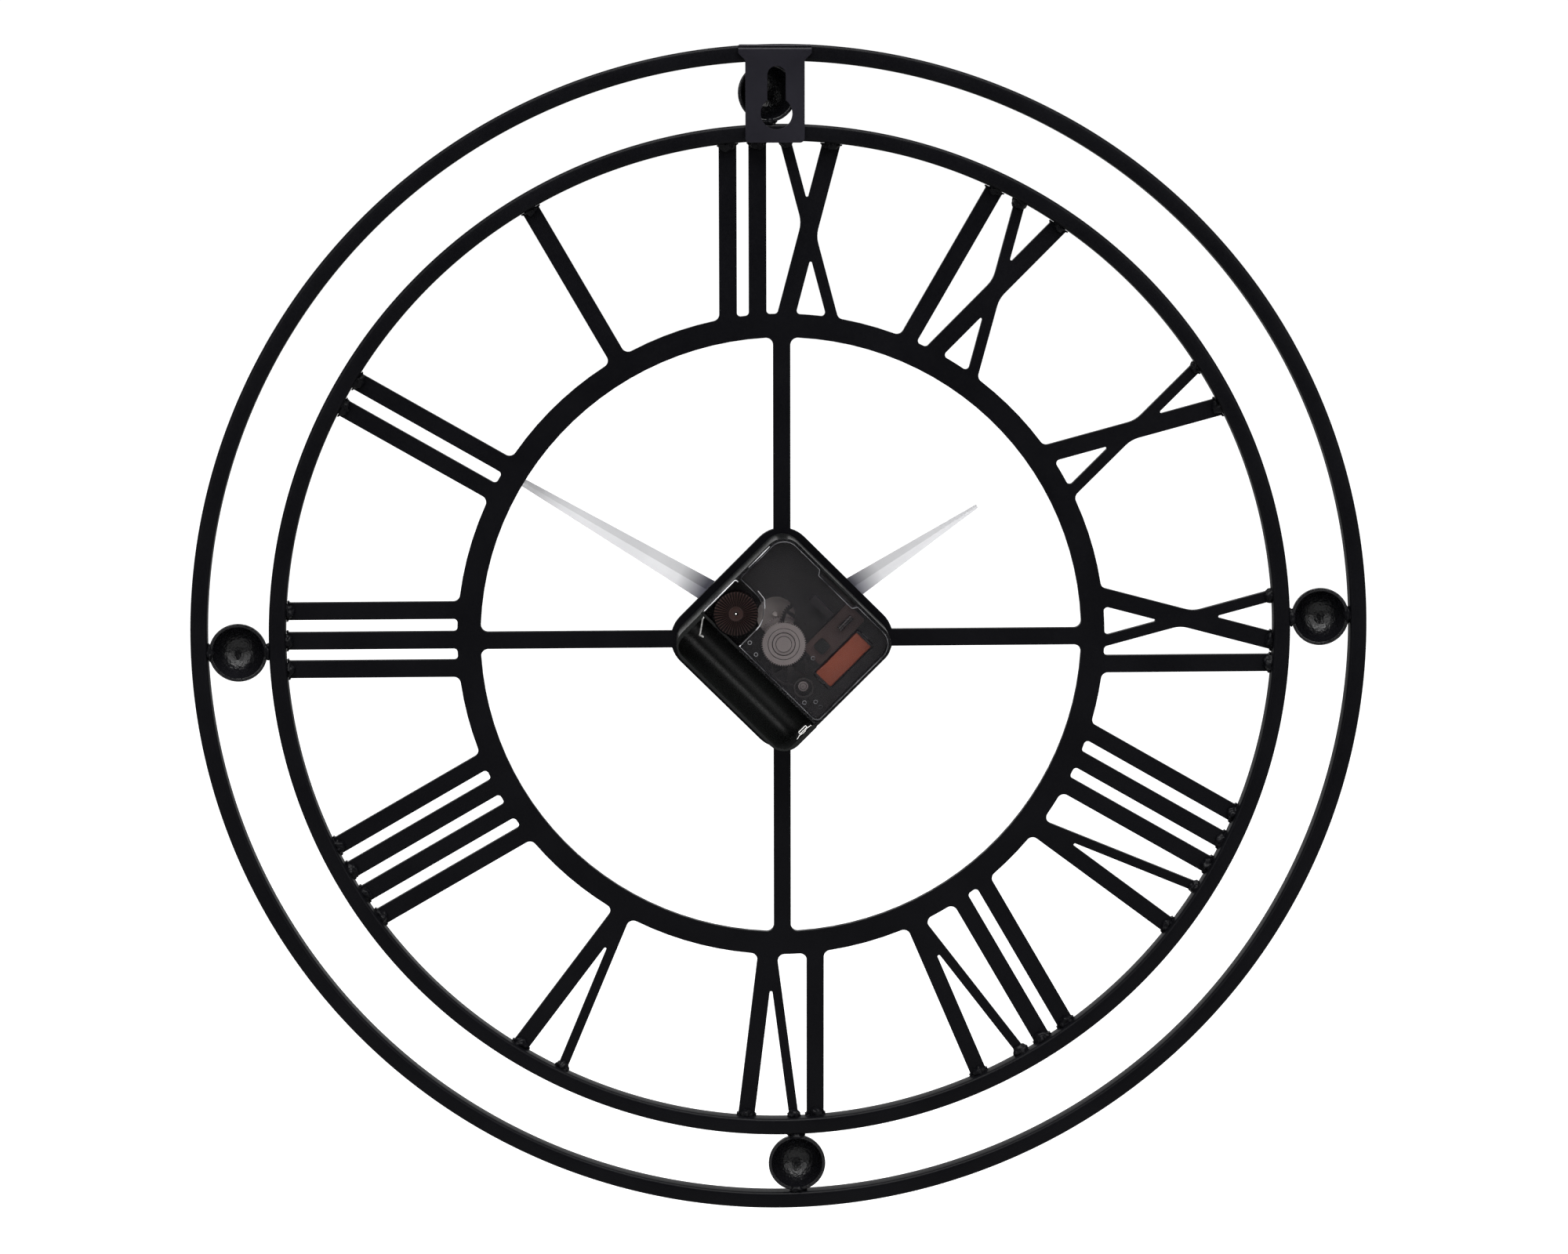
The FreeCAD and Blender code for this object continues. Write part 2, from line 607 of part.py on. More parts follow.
end_u = half_side - sheet.battery_end_wall
well = Part.makeCylinder(sheet.battery_radius, 2 * end_u, FreeCAD.Vector(-end_u, battery_v, channel_level),
                         FreeCAD.Vector(1, 0, 0))
well = well.fuse(block(-end_u, end_u, battery_v - sheet.battery_radius, battery_v + sheet.battery_radius,
                       rear - 1, channel_level))
well = well.common(block(-end_u, end_u, battery_v - sheet.battery_radius, half_side, rear - 1, front,
                         sheet.battery_corner))
shell = block(-half_side, half_side, -half_side, half_side, rear, front, sheet.case_corner)
shell = shell.cut([
    block(-half_side - 1, half_side + 1, partition - sheet.side_wall, half_side + 1, rear - 1, seat),
    within_walls(0.0, rear - 1, inside),
    well,
    disc(sheet.knob_radius + sheet.knob_clearance, rear - 1, bay_bottom, *knob_at),
    disc(sheet.bush_radius + 0.02, rear, front + 1),
])
pillars = [disc(sheet.post_radius, number("plate_level") + sheet.plate_sheet, inside, *at) for at in posts]
bearings = [disc(pivot_hole, inside - 1, inside + 0.8, *at)
            for at in (motion_at, third_at, intermediate_at, rotor_at, knob_at)]
node("movement_case", solid(shell.fuse(pillars).cut(bearings).removeSplitter()), MOVEMENT)

# ---- cover: flat sheet, open round the setting knob, with a sunk floor under it -----------------

bay_u, bay_v = sheet.knob_u - sheet.bay_reach, sheet.knob_v + sheet.bay_reach + 0.9


def bay(grown, low, high):
    """The space round the knob: open to the case's side and to the battery, round at its inner corner."""
    shape = Part.makeBox(half_side + 1 - bay_u + grown, bay_v + grown - partition + 1, high - low,
                         FreeCAD.Vector(bay_u - grown, partition - 1, low))
    inner = [edge for edge in shape.Edges
             if upright(edge) and edge.CenterOfMass.x < bay_u + 0.01 and edge.CenterOfMass.y > bay_v - 0.01]
    return shape.makeFillet(sheet.bay_reach + grown, inner)


cover = block(-half_side, half_side, partition - sheet.side_wall, half_side, rear, seat, 1.2)
cover = cover.common(block(-half_side, half_side, -half_side, half_side, rear, seat, sheet.case_corner))
cover = cover.cut([
    bay(0.0, rear - 1, seat + 1),
    block(-sheet.clip_length / 2 + 1.2, sheet.clip_length / 2 + 1.2, half_side - sheet.clip_notch,
          half_side + 1, rear - 1, seat + 1),
])
tray = bay(0.8, seat, bay_bottom + sheet.bay_floor).cut(bay(0.0, rear, bay_bottom))
tray = tray.common(block(-room, room - sheet.running_gap, partition + sheet.running_gap, room, rear, 0))
tray = tray.cut(disc(sheet.knob_shaft_radius + sheet.running_gap, rear, seat + 20, *knob_at))
node("movement_cover", solid(cover.fuse(tray).removeSplitter()), MOVEMENT)

# ---- train plate: carries the wheels between the case's front wall and the cover ----------------

margin = sheet.plate_margin
plate_low = sheet.plate_level
plate_high = plate_low + sheet.plate_sheet
coil_half = sheet.coil_length / 2 + 0.5
plate = within_walls(margin, plate_low, plate_high).cut([
    disc(1.0, plate_low - 1, plate_high + 1),
    disc(6.6, plate_low - 1, plate_high + 1, *motion_at),
    disc(sheet.knob_shaft_radius + sheet.running_gap, plate_low - 1, plate_high + 1, *knob_at),
    disc(2.2, plate_low - 1, plate_high + 1, *rotor_at),
    disc(pivot_hole, plate_low - 1, plate_high + 1, *third_at),
    disc(pivot_hole, plate_low - 1, plate_high + 1, *intermediate_at),
    block(sheet.coil_u - sheet.coil_width / 2 - 0.5, sheet.coil_u + sheet.coil_width / 2 + 0.5,
          sheet.coil_v - coil_half, sheet.coil_v + coil_half, plate_low - 1, plate_high + 1, 1.0),
])
board_u = (-14.2, -14.2 + sheet.board_width)
board_v = (3.4, 3.4 + sheet.board_length)
board_low = plate_low - 0.6 - sheet.board_sheet
pads = [disc(1.1, plate_low - 0.6, plate_low, u, v)
        for u in (board_u[0] + 1.6, board_u[1] - 1.6) for v in (board_v[0] + 1.6, board_v[1] - 1.6)]
bridge = block(-4.5, 4.5, 17.0, 19.5, rear + sheet.cover_sheet + 0.4, plate_low)
node("train_plate", solid(plate.fuse(pads + [bridge]).removeSplitter()), MOVEMENT)

# ---- stepping motor: stator, coil and rotor -----------------------------------------------------

stator_high = plate_high + 2.6
stator_low = stator_high - sheet.stator_sheet
rotor_well = sheet.magnet_radius + sheet.stator_gap
core_half = sheet.core_width / 2
core_v = (sheet.coil_v - coil_half - 2.6, sheet.coil_v + coil_half + 2.6)
u_left = sheet.coil_u - sheet.coil_width / 2 - 3.4
stator = block(rotor_at[0] - 4.6, rotor_at[0] + 4.6, rotor_at[1] - 4.4, rotor_at[1] + 4.4,
               stator_low, stator_high, 1.5)
stator = stator.fuse([
    block(u_left, rotor_at[0], rotor_at[1] - 4.2, rotor_at[1] - 1.6, stator_low, stator_high, 0.6),
    block(u_left, u_left + 2.6, rotor_at[1] - 4.2, core_v[1], stator_low, stator_high, 0.6),
    block(u_left, sheet.coil_u + core_half, core_v[1] - 2.4, core_v[1], stator_low, stator_high, 0.6),
    block(sheet.coil_u - core_half, rotor_at[0] + 2, core_v[0], core_v[0] + 2.2,
          stator_low, stator_high, 0.6),
]).cut([
    disc(rotor_well, stator_low - 1, stator_high + 1, *rotor_at),
    block(rotor_at[0] - 0.25, rotor_at[0] + 0.25, rotor_at[1] + 3.4, rotor_at[1] + 5, stator_low - 1,
          stator_high + 1),
])
hangers = [disc(1.0, plate_high, stator_low, u_left + 1.3, v) for v in (rotor_at[1] - 2.9, core_v[1] - 1.2)]
node("stator", solid(stator.fuse(hangers).removeSplitter()), MOVEMENT)
core_low = stator_low - sheet.stator_sheet
core = block(sheet.coil_u - core_half, sheet.coil_u + core_half, core_v[0], core_v[1],
             core_low, stator_low, 0.4)
node("coil_core", solid(core), MOVEMENT)
coil_low = (core_low + stator_low - sheet.coil_height) / 2
coil_high = coil_low + sheet.coil_height
coil_u = (sheet.coil_u - sheet.coil_width / 2, sheet.coil_u + sheet.coil_width / 2)
coil_v = (sheet.coil_v - sheet.coil_length / 2, sheet.coil_v + sheet.coil_length / 2)
sleeve = block(sheet.coil_u - core_half - 0.6, sheet.coil_u + core_half + 0.6, coil_v[0], coil_v[1],
               core_low - 0.6, stator_low + 0.6)
cheeks = [block(coil_u[0] - 0.2, coil_u[1] + 0.2, v, v + sheet.flange_sheet, coil_low - 0.2,
                min(coil_high + 0.2, inside - 0.3), 0.25)
          for v in (coil_v[0], coil_v[1] - sheet.flange_sheet)]
passage = block(sheet.coil_u - core_half, sheet.coil_u + core_half, coil_v[0] - 1, coil_v[1] + 1,
                core_low, stator_low)
node("coil_bobbin", solid(sleeve.fuse(cheeks).cut(passage).removeSplitter()), MOVEMENT)
winding = block(coil_u[0], coil_u[1], coil_v[0] + sheet.flange_sheet, coil_v[1] - sheet.flange_sheet,
                coil_low, coil_high)
along_v = [edge for edge in winding.Edges if abs(edge.Curve.Direction.y) > 0.99]
winding = winding.makeFillet(1.6, along_v)
node("coil_winding", solid(winding.cut(sleeve)), MOVEMENT)

# ---- circuit board with its chip and crystal ----------------------------------------------------

board = block(board_u[0], board_u[1], board_v[0], board_v[1], board_low, plate_low - 0.6, 0.8)
node("circuit_board", solid(board), MOVEMENT)
chip_v = (board_v[0] + 3.0, board_v[0] + 7.4)
node("chip", solid(block(board_u[0] + 2.0, board_u[0] + 6.4, chip_v[0], chip_v[1],
                         board_low - 1.0, board_low, 0.9)), MOVEMENT)
crystal = Part.makeCylinder(1.0, 6.0, FreeCAD.Vector(board_u[0] + 4.2, board_v[1] - 8.5, board_low - 1.0),
                            FreeCAD.Vector(0, 1, 0))
node("quartz_crystal", solid(crystal), MOVEMENT)

# ---- battery bay: sprung wire at one end, folded strip at the other -----------------------------

wire = 0.35
tongue_width = 4.4
tongue = [(0.2, 0.8), (0.6, 0.8), (2.6, 3.2), (1.3, 6.3), (0.9, 6.2), (2.15, 3.25)]
tongue = [FreeCAD.Vector(-end_u + out, battery_v + 1.0, rear + depth) for out, depth in tongue]
tongue = Part.Face(Part.makePolygon(tongue + tongue[:1])).extrude(FreeCAD.Vector(0, tongue_width, 0))
strip = block(-end_u, -end_u + 0.4, battery_v - 0.6, battery_v + 6.6, rear + 0.6, channel_level + 2.0)
node("battery_contact", solid(strip.fuse(tongue).removeSplitter()), MOVEMENT)
side_v = battery_v + sheet.battery_radius - wire - 0.1
path = [(end_u - wire, side_v, rear + 1.2), (end_u - wire, side_v, channel_level - 1.0),
        (end_u - 4.3, battery_v + 1.4, channel_level - 0.4), (end_u - 5.4, battery_v + 1.8, channel_level - 1.0)]
points = [FreeCAD.Vector(*point) for point in path]
runs = []
for start, end in zip(points, points[1:]):
    runs.append(Part.makeCylinder(wire, start.distanceToPoint(end), start, end - start))
knees = [Part.makeSphere(wire, point) for point in points]
node("battery_spring", solid(runs[0].fuse(runs[1:] + knees).removeSplitter()), MOVEMENT)

# ---- centre stack: gasket, bush, washer and nut -------------------------------------------------

node("rubber_washer", cut(cylinder("gasket_radius", "gasket_sheet", z=CASE_FRONT),
                          cylinder("bush_flange + 0.1", "gasket_sheet + 2", z=CASE_FRONT + " - 1")))
bush = disc(sheet.bush_radius, inside, number("hanger_sheet + bar_depth") + sheet.bush_reach)
bush = bush.fuse(disc(sheet.bush_flange, front, front + sheet.gasket_sheet - 0.1))
bush = bush.cut(disc(sheet.hour_tube_radius + sheet.running_gap, inside - 1, 40))
node("centre_bush", solid(bush))
dial_front = "hanger_sheet + bar_depth"
node("brass_washer", cut(cylinder("washer_radius", "washer_sheet", z=dial_front),
                         cylinder("bush_radius + 0.15", "washer_sheet + 2", z=dial_front + " - 1")))
nut = doc.addObject("Part::Prism", "Nut")
nut.Polygon = 6
bind(nut, Circumradius="nut_flats / sqrt(3)", Height="nut_height", z=dial_front + " + washer_sheet")
nut_level = dial_front + " + washer_sheet - 1"
node("mounting_nut", cut(nut, cylinder("bush_radius + 0.02", "nut_height + 2", z=nut_level)))

# ---- wheels -------------------------------------------------------------------------------------

def toothed(teeth, module, low, high, bore=0.0, windows=0, rim=0.0):
    """A wheel or pinion with straight-flanked teeth, the first one on its u axis."""
    pitch = module * teeth / 2
    low_radius, high_radius = pitch - 1.0 * module, pitch + 0.75 * module
    half_tooth = (math.pi * module / 2 - sheet.backlash) / 2 / pitch
    spread = ((low_radius, 1.2), (high_radius, 0.5))
    outline = []
    for tooth in range(teeth):
        middle = 2 * math.pi * tooth / teeth
        for (radius, share), way in ((spread[0], -1), (spread[1], -1), (spread[1], 1), (spread[0], 1)):
            angle = middle + way * share * half_tooth
            outline.append((radius * math.cos(angle), radius * math.sin(angle)))
    wheel = prism(outline, low, high)
    cuts = []
    if bore:
        cuts.append(disc(bore, low - 1, high + 1))
    for window in range(windows):
        ring_cut = disc(low_radius - rim, low - 1, high + 1).cut(disc(low_radius * 0.42, low - 1, high + 1))
        arm = block(-low_radius, low_radius, -0.6, 0.6, low - 1, high + 1)
        arm.rotate(FreeCAD.Vector(0, 0, 0), FreeCAD.Vector(0, 0, 1), 180.0 * window / windows)
        cuts = [ring_cut.cut(arm)] + cuts if window == 0 else [cuts[0].cut(arm)] + cuts[1:]
    return wheel.cut(cuts) if cuts else wheel


def mesh(line_angle, phase, teeth, other_teeth):
    """The turn of a wheel so that it meshes with another one that stands at a phase."""
    lead = phase - line_angle
    return line_angle + 180.0 - lead * teeth / other_teeth + 180.0 / other_teeth


def at_centre(centre, turn):
    return MOVEMENT * FreeCAD.Placement(FreeCAD.Vector(*centre, 0), spin(turn))


gap = sheet.running_gap
hour_end = sheet.hour_hand_level + sheet.hand_sheet + 0.3
minute_end = sheet.minute_hand_level + sheet.hand_sheet + 0.8
# levels of the wheels, stacked from the front wall to the cover
hour_low = inside - 1.1
motion_low = inside - 3.0
centre_low = plate_high + 1.4
third_low = plate_high + 0.3
second_low = plate_low - 2.8

minute_tube = disc(sheet.minute_tube_radius, centre_low - 0.3, minute_end).fuse(
    toothed(TEETH["cannon"], motion_module, motion_low - 0.1, motion_low + 0.8)).cut(
    disc(sheet.arbor_radius + gap, centre_low - 1, minute_end + 1))
node("minute_tube", solid(minute_tube), at_centre((0, 0), 0))
hour_wheel = toothed(TEETH["hour"], hour_module, hour_low, hour_low + 0.8).fuse(
    disc(sheet.hour_tube_radius, hour_low, hour_end)).cut(
    disc(sheet.minute_tube_radius + gap, hour_low - 1, hour_end + 1))
motion_turn = mesh(motion_angle, 0.0, TEETH["cannon"], TEETH["motion"])
motion_wheel = toothed(TEETH["motion"], motion_module, motion_low, motion_low + 0.7).fuse([
    toothed(TEETH["motion_pinion"], hour_module, motion_low + 0.7, hour_low + 0.8),
    disc(sheet.pivot_radius, hour_low, inside + 0.7),
    disc(0.9, motion_low - 1.2, motion_low)])
node("motion_wheel", solid(motion_wheel), at_centre(motion_at, motion_turn))
hour_turn = mesh(motion_angle + 180.0, motion_turn, TEETH["motion_pinion"], TEETH["hour"])
node("hour_wheel", solid(hour_wheel), at_centre((0, 0), hour_turn))
knob_line = math.degrees(math.atan2(knob_at[1] - motion_at[1], knob_at[0] - motion_at[0]))
knob_turn = mesh(knob_line, motion_turn, TEETH["motion"], TEETH["knob"])
knob_top = bay_bottom - 0.7
knob = disc(sheet.knob_radius, knob_top - sheet.knob_height, knob_top)
ribs = []
for rib in range(40):
    ribs.append(disc(0.28, knob_top - sheet.knob_height - 1, knob_top + 1,
                     *polar(sheet.knob_radius + 0.08, 9.0 * rib)))
knob = knob.cut(ribs).fuse([
    disc(sheet.knob_shaft_radius, knob_top, inside - 0.4),
    disc(sheet.pivot_radius, inside - 0.5, inside + 0.7),
    toothed(TEETH["knob"], motion_module, motion_low, motion_low + 0.7)])
node("setting_knob", solid(knob), at_centre(knob_at, knob_turn))

seconds = toothed(TEETH["seconds"], sheet.seconds_module, second_low, second_low + 0.8).fuse([
    toothed(TEETH["seconds_pinion"], third_module, third_low - 0.1, third_low + 0.8),
    disc(sheet.arbor_radius, second_low - 0.6, minute_end - 0.8),
    disc(2.6, second_low - 0.6, second_low)])
node("seconds_wheel", solid(seconds), at_centre((0, 0), 0))
third_turn = mesh(sheet.third_angle, 0.0, TEETH["seconds_pinion"], TEETH["third"])
third = toothed(TEETH["third"], third_module, third_low, third_low + 0.6, 0.0, 3, 1.1).fuse([
    toothed(TEETH["third_pinion"], centre_module, third_low + 0.6, centre_low + 0.9),
    disc(0.6, centre_low + 0.9, inside - 0.3),
    disc(sheet.pivot_radius, plate_low - 0.2, third_low),
    disc(sheet.pivot_radius, inside - 0.4, inside + 0.7)])
node("third_wheel", solid(third), at_centre(third_at, third_turn))
centre_turn = mesh(sheet.third_angle + 180.0, third_turn, TEETH["third_pinion"], TEETH["centre"])
centre_wheel = toothed(TEETH["centre"], centre_module, centre_low, centre_low + 0.8,
                       sheet.minute_tube_radius + gap, 3, 1.1)
node("centre_wheel", solid(centre_wheel), at_centre((0, 0), centre_turn))
intermediate_turn = mesh(sheet.intermediate_angle, 0.0, TEETH["seconds"], TEETH["intermediate_pinion"])
spur_low = plate_low - 0.9
intermediate = toothed(TEETH["intermediate"], sheet.rotor_module, spur_low, spur_low + 0.6, 0.0, 3, 0.9).fuse([
    toothed(TEETH["intermediate_pinion"], sheet.seconds_module, second_low - 0.1, spur_low),
    disc(sheet.pivot_radius, spur_low + 0.6, plate_high)])
node("intermediate_wheel", solid(intermediate), at_centre(intermediate_at, intermediate_turn))
rotor_turn = mesh(sheet.rotor_angle, intermediate_turn, TEETH["intermediate"], TEETH["rotor"])
magnet_low = (stator_low + stator_high - sheet.magnet_height) / 2
pinion = toothed(TEETH["rotor"], sheet.rotor_module, spur_low - 0.1, spur_low + 0.7).fuse([
    disc(0.6, spur_low + 0.7, magnet_low + sheet.magnet_height + 0.6),
    disc(sheet.pivot_radius, magnet_low + sheet.magnet_height + 0.6, inside + 0.7)])
node("rotor_pinion", solid(pinion), at_centre(rotor_at, rotor_turn))
magnet = disc(sheet.magnet_radius, magnet_low, magnet_low + sheet.magnet_height).cut(
    disc(0.6, magnet_low - 1, magnet_low + 5))
node("rotor_magnet", solid(magnet), at_centre(rotor_at, rotor_turn))

# ---- hands: strips folded along the middle, each on its tube ------------------------------------

def strip(sections):
    """A folded strip: sections of (distance along the hand, half width, height of the fold)."""
    thick = sheet.hand_sheet
    loops = []
    for y, half_width, ridge in sections:
        loops.append([FreeCAD.Vector(x, y, z) for x, z in (
            (-half_width, 0), (0, ridge), (half_width, 0),
            (half_width, thick), (0, ridge + thick), (-half_width, thick))])
    faces = []
    for near, far in zip(loops, loops[1:]):
        for index in range(6):
            following = (index + 1) % 6
            corners = [near[index], near[following], far[following], far[index]]
            faces.append(Part.Face(Part.makePolygon(corners + corners[:1])))
    for loop in (loops[0], loops[-1]):
        for half_loop in ((0, 1, 4, 5), (1, 2, 3, 4)):
            corners = [loop[index] for index in half_loop]
            faces.append(Part.Face(Part.makePolygon(corners + corners[:1])))
    return Part.Solid(Part.Shell(faces))


def hand(length, width, tip, bore):
    """Widest at the shoulder, tapering to a blunt tip and to a short tail."""
    def section(y, whole):
        return (y, whole / 2, sheet.hand_ridge * whole / width)
    blade = strip([section(sheet.hand_shoulder, width), section(length, tip)])
    neck = strip([section(0, width * 0.45), section(sheet.hand_shoulder, width)])
    tail = strip([section(-sheet.hand_tail, width * 0.8), section(0, width * 0.45)])
    hub = disc(sheet.hand_hub_radius, 0, sheet.hand_sheet)
    above = disc(sheet.hand_hub_radius, sheet.hand_sheet, 5)
    return blade.fuse([neck, tail, hub]).cut([above, disc(bore, -5, 5)]).removeSplitter()


def hand_place(angle, height):
    return CLOCK * FreeCAD.Placement(FreeCAD.Vector(0, 0, height), spin(-angle))


hour_bore = sheet.hour_tube_radius + 0.02
minute_bore = sheet.minute_tube_radius + 0.02
node("hour_hand", solid(hand(sheet.hour_hand_length, sheet.hour_hand_width, sheet.hour_tip_width,
                             hour_bore)), hand_place(sheet.hour_angle, sheet.hour_hand_level))
node("minute_hand", solid(hand(sheet.minute_hand_length, sheet.minute_hand_width,
                               sheet.minute_tip_width, minute_bore)),
     hand_place(sheet.minute_angle, sheet.minute_hand_level))


def collet(label, bore, under):
    ring_shape = disc(bore + sheet.collet_wall, under - sheet.collet_height, under)
    node(label, solid(ring_shape.cut(disc(bore, under - 9, under + 1))))


collet("hour_collet", hour_bore, sheet.hour_hand_level)
collet("minute_collet", minute_bore, sheet.minute_hand_level)
cap_low = sheet.minute_hand_level + sheet.hand_sheet
cap = disc(sheet.cap_radius, cap_low, cap_low + sheet.cap_height)
cap = cap.makeFillet(0.7, [edge for edge in cap.Edges if edge.CenterOfMass.z > cap_low + 1])
node("cap_nut", solid(cap.cut(disc(minute_bore, cap_low - 1, minute_end + 0.05))))

# ---- checks and export --------------------------------------------------------------------------

doc.recompute()
for item in doc.Objects:
    if "Invalid" in item.State or "Error" in item.State:
        raise RuntimeError("%s did not rebuild" % item.Label)
os.makedirs("parts", exist_ok=True)
for piece in nodes:
    if piece.Shape.isNull() or not piece.Shape.isValid() or not piece.Shape.Solids:
        raise RuntimeError("%s is not a sound solid" % piece.Label)
    piece.Shape.exportStep("parts/%s.step" % piece.Label)
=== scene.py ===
import json
import math
import random

import bmesh
import bpy
from mathutils import Matrix, Vector, noise


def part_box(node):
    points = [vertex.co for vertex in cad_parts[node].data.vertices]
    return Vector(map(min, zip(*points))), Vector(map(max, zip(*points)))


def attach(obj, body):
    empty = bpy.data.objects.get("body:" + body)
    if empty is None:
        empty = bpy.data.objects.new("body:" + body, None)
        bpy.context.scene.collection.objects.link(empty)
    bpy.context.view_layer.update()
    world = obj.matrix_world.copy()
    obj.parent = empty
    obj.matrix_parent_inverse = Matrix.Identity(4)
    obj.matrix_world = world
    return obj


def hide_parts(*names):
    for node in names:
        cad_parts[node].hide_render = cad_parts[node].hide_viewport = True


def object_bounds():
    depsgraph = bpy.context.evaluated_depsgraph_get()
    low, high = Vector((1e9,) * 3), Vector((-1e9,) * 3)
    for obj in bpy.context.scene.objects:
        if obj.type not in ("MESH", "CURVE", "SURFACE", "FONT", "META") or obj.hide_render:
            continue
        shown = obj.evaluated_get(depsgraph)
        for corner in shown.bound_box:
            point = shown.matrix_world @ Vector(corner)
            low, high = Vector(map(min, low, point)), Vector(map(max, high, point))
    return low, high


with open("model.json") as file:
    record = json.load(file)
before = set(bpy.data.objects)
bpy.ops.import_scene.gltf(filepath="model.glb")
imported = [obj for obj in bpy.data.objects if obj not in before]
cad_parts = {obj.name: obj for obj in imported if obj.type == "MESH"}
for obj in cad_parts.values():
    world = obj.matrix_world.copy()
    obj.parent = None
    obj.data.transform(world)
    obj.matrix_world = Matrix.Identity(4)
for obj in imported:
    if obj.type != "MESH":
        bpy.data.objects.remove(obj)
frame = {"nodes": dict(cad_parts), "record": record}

cad_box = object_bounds()


# ---- hoops ------------------------------------------------------------------------------------
# Two hoops of 5.7 mm square steel bar, rolled, butt welded and powder coated satin black.
# The rolling leaves the bar's edges round, and that is where the coat catches the light.

MM = 0.001
joints = {joint["name"]: joint for joint in frame["record"]["behaviour"]["joints"]}
hand_axis = Vector(joints["minute_turn"]["pos_m"])
clock_centre = Vector((hand_axis.x, 0, hand_axis.z))


def effect_group(name, inputs, outputs):
    """A shader node group; inputs are (name, socket type, default), outputs (name, type)."""
    group = bpy.data.node_groups.new(name, "ShaderNodeTree")
    for label, kind, default in inputs:
        socket = group.interface.new_socket(label, in_out="INPUT", socket_type=kind)
        socket.default_value = default
    for label, kind in outputs:
        group.interface.new_socket(label, in_out="OUTPUT", socket_type=kind)
    return group, group.nodes.new("NodeGroupInput"), group.nodes.new("NodeGroupOutput")


def noise_node(tree, scale, detail=3.0):
    """A noise texture in the piece's own coordinates; scale is in grains to the metre."""
    grain = tree.nodes.new("ShaderNodeTexNoise")
    grain.inputs["Scale"].default_value = scale
    grain.inputs["Detail"].default_value = detail
    grain.inputs["Roughness"].default_value = 0.55
    place = tree.nodes.new("ShaderNodeTexCoord")
    tree.links.new(place.outputs["Object"], grain.inputs["Vector"])
    return grain


def feed(tree, source, socket):
    """Give a socket either another node's output or a plain value."""
    if hasattr(source, "links"):
        tree.links.new(source, socket)
    else:
        socket.default_value = source


def remap(tree, value, low, high, from_low=0.0, from_high=1.0):
    """A value spread from its own range to low and high."""
    spread = tree.nodes.new("ShaderNodeMapRange")
    spread.inputs["From Min"].default_value = from_low
    spread.inputs["From Max"].default_value = from_high
    feed(tree, low, spread.inputs["To Min"])
    feed(tree, high, spread.inputs["To Max"])
    tree.links.new(value, spread.inputs["Value"])
    return spread.outputs["Result"]


def blend_colour(tree, factor, first, second):
    """The first colour where factor is 0 and the second where it is 1."""
    blend = tree.nodes.new("ShaderNodeMix")
    blend.data_type = "RGBA"
    tree.links.new(factor, blend.inputs["Factor"])
    feed(tree, first, blend.inputs["A"])
    feed(tree, second, blend.inputs["B"])
    return blend.outputs["Result"]


def make_grain_group():
    """Fine grain of a coat or a moulding: mottled colour, uneven gloss and a height to bump."""
    group, given, result = effect_group(
        "surface_grain",
        [("Colour", "NodeSocketColor", (0.01, 0.01, 0.01, 1)),
         ("Mottle", "NodeSocketColor", (0.02, 0.02, 0.02, 1)),
         ("Gloss Low", "NodeSocketFloat", 0.4), ("Gloss High", "NodeSocketFloat", 0.6),
         ("Grain Scale", "NodeSocketFloat", 1500.0)],
        [("Colour", "NodeSocketColor"), ("Roughness", "NodeSocketFloat"),
         ("Height", "NodeSocketFloat")])
    mottle_scale = 42.0
    fine = noise_node(group, 1500.0, detail=2.0)
    group.links.new(given.outputs["Grain Scale"], fine.inputs["Scale"])
    broad = noise_node(group, mottle_scale)
    tone = remap(group, broad.outputs["Fac"], 0.0, 1.0, 0.35, 0.7)
    colour = blend_colour(group, tone, given.outputs["Colour"], given.outputs["Mottle"])
    gloss = remap(group, fine.outputs["Fac"], given.outputs["Gloss Low"],
                  given.outputs["Gloss High"], 0.3, 0.7)
    group.links.new(colour, result.inputs["Colour"])
    group.links.new(gloss, result.inputs["Roughness"])
    group.links.new(fine.outputs["Fac"], result.inputs["Height"])
    return group


surface_grain = make_grain_group()


def blank_material(name):
    """A new material with its Principled shader alone."""
    material = bpy.data.materials.new(name)
    material.use_nodes = True
    return material, material.node_tree, material.node_tree.nodes["Principled BSDF"]


def bumped(tree, height, strength, depth, shader):
    """Raise a height into the shader's normal, by a strength and a depth in metres."""
    relief = tree.nodes.new("ShaderNodeBump")
    relief.inputs["Strength"].default_value = strength
    relief.inputs["Distance"].default_value = depth
    tree.links.new(height, relief.inputs["Height"])
    tree.links.new(relief.outputs["Normal"], shader.inputs["Normal"])


def grained_material(name, colour, mottle, gloss, grain_scale, bump, bump_depth=0.03 * MM,
                     **settings):
    """A coat, metal or moulding: the grain group into a Principled shader."""
    material, tree, shader = blank_material(name)
    grain = tree.nodes.new("ShaderNodeGroup")
    grain.node_tree = surface_grain
    grain.inputs["Colour"].default_value = (*colour, 1)
    grain.inputs["Mottle"].default_value = (*mottle, 1)
    grain.inputs["Gloss Low"].default_value = gloss[0]
    grain.inputs["Gloss High"].default_value = gloss[1]
    grain.inputs["Grain Scale"].default_value = grain_scale
    tree.links.new(grain.outputs["Colour"], shader.inputs["Base Color"])
    tree.links.new(grain.outputs["Roughness"], shader.inputs["Roughness"])
    bumped(tree, grain.outputs["Height"], bump, bump_depth, shader)
    for socket, value in settings.items():
        shader.inputs[socket.replace("_", " ")].default_value = value
    return material


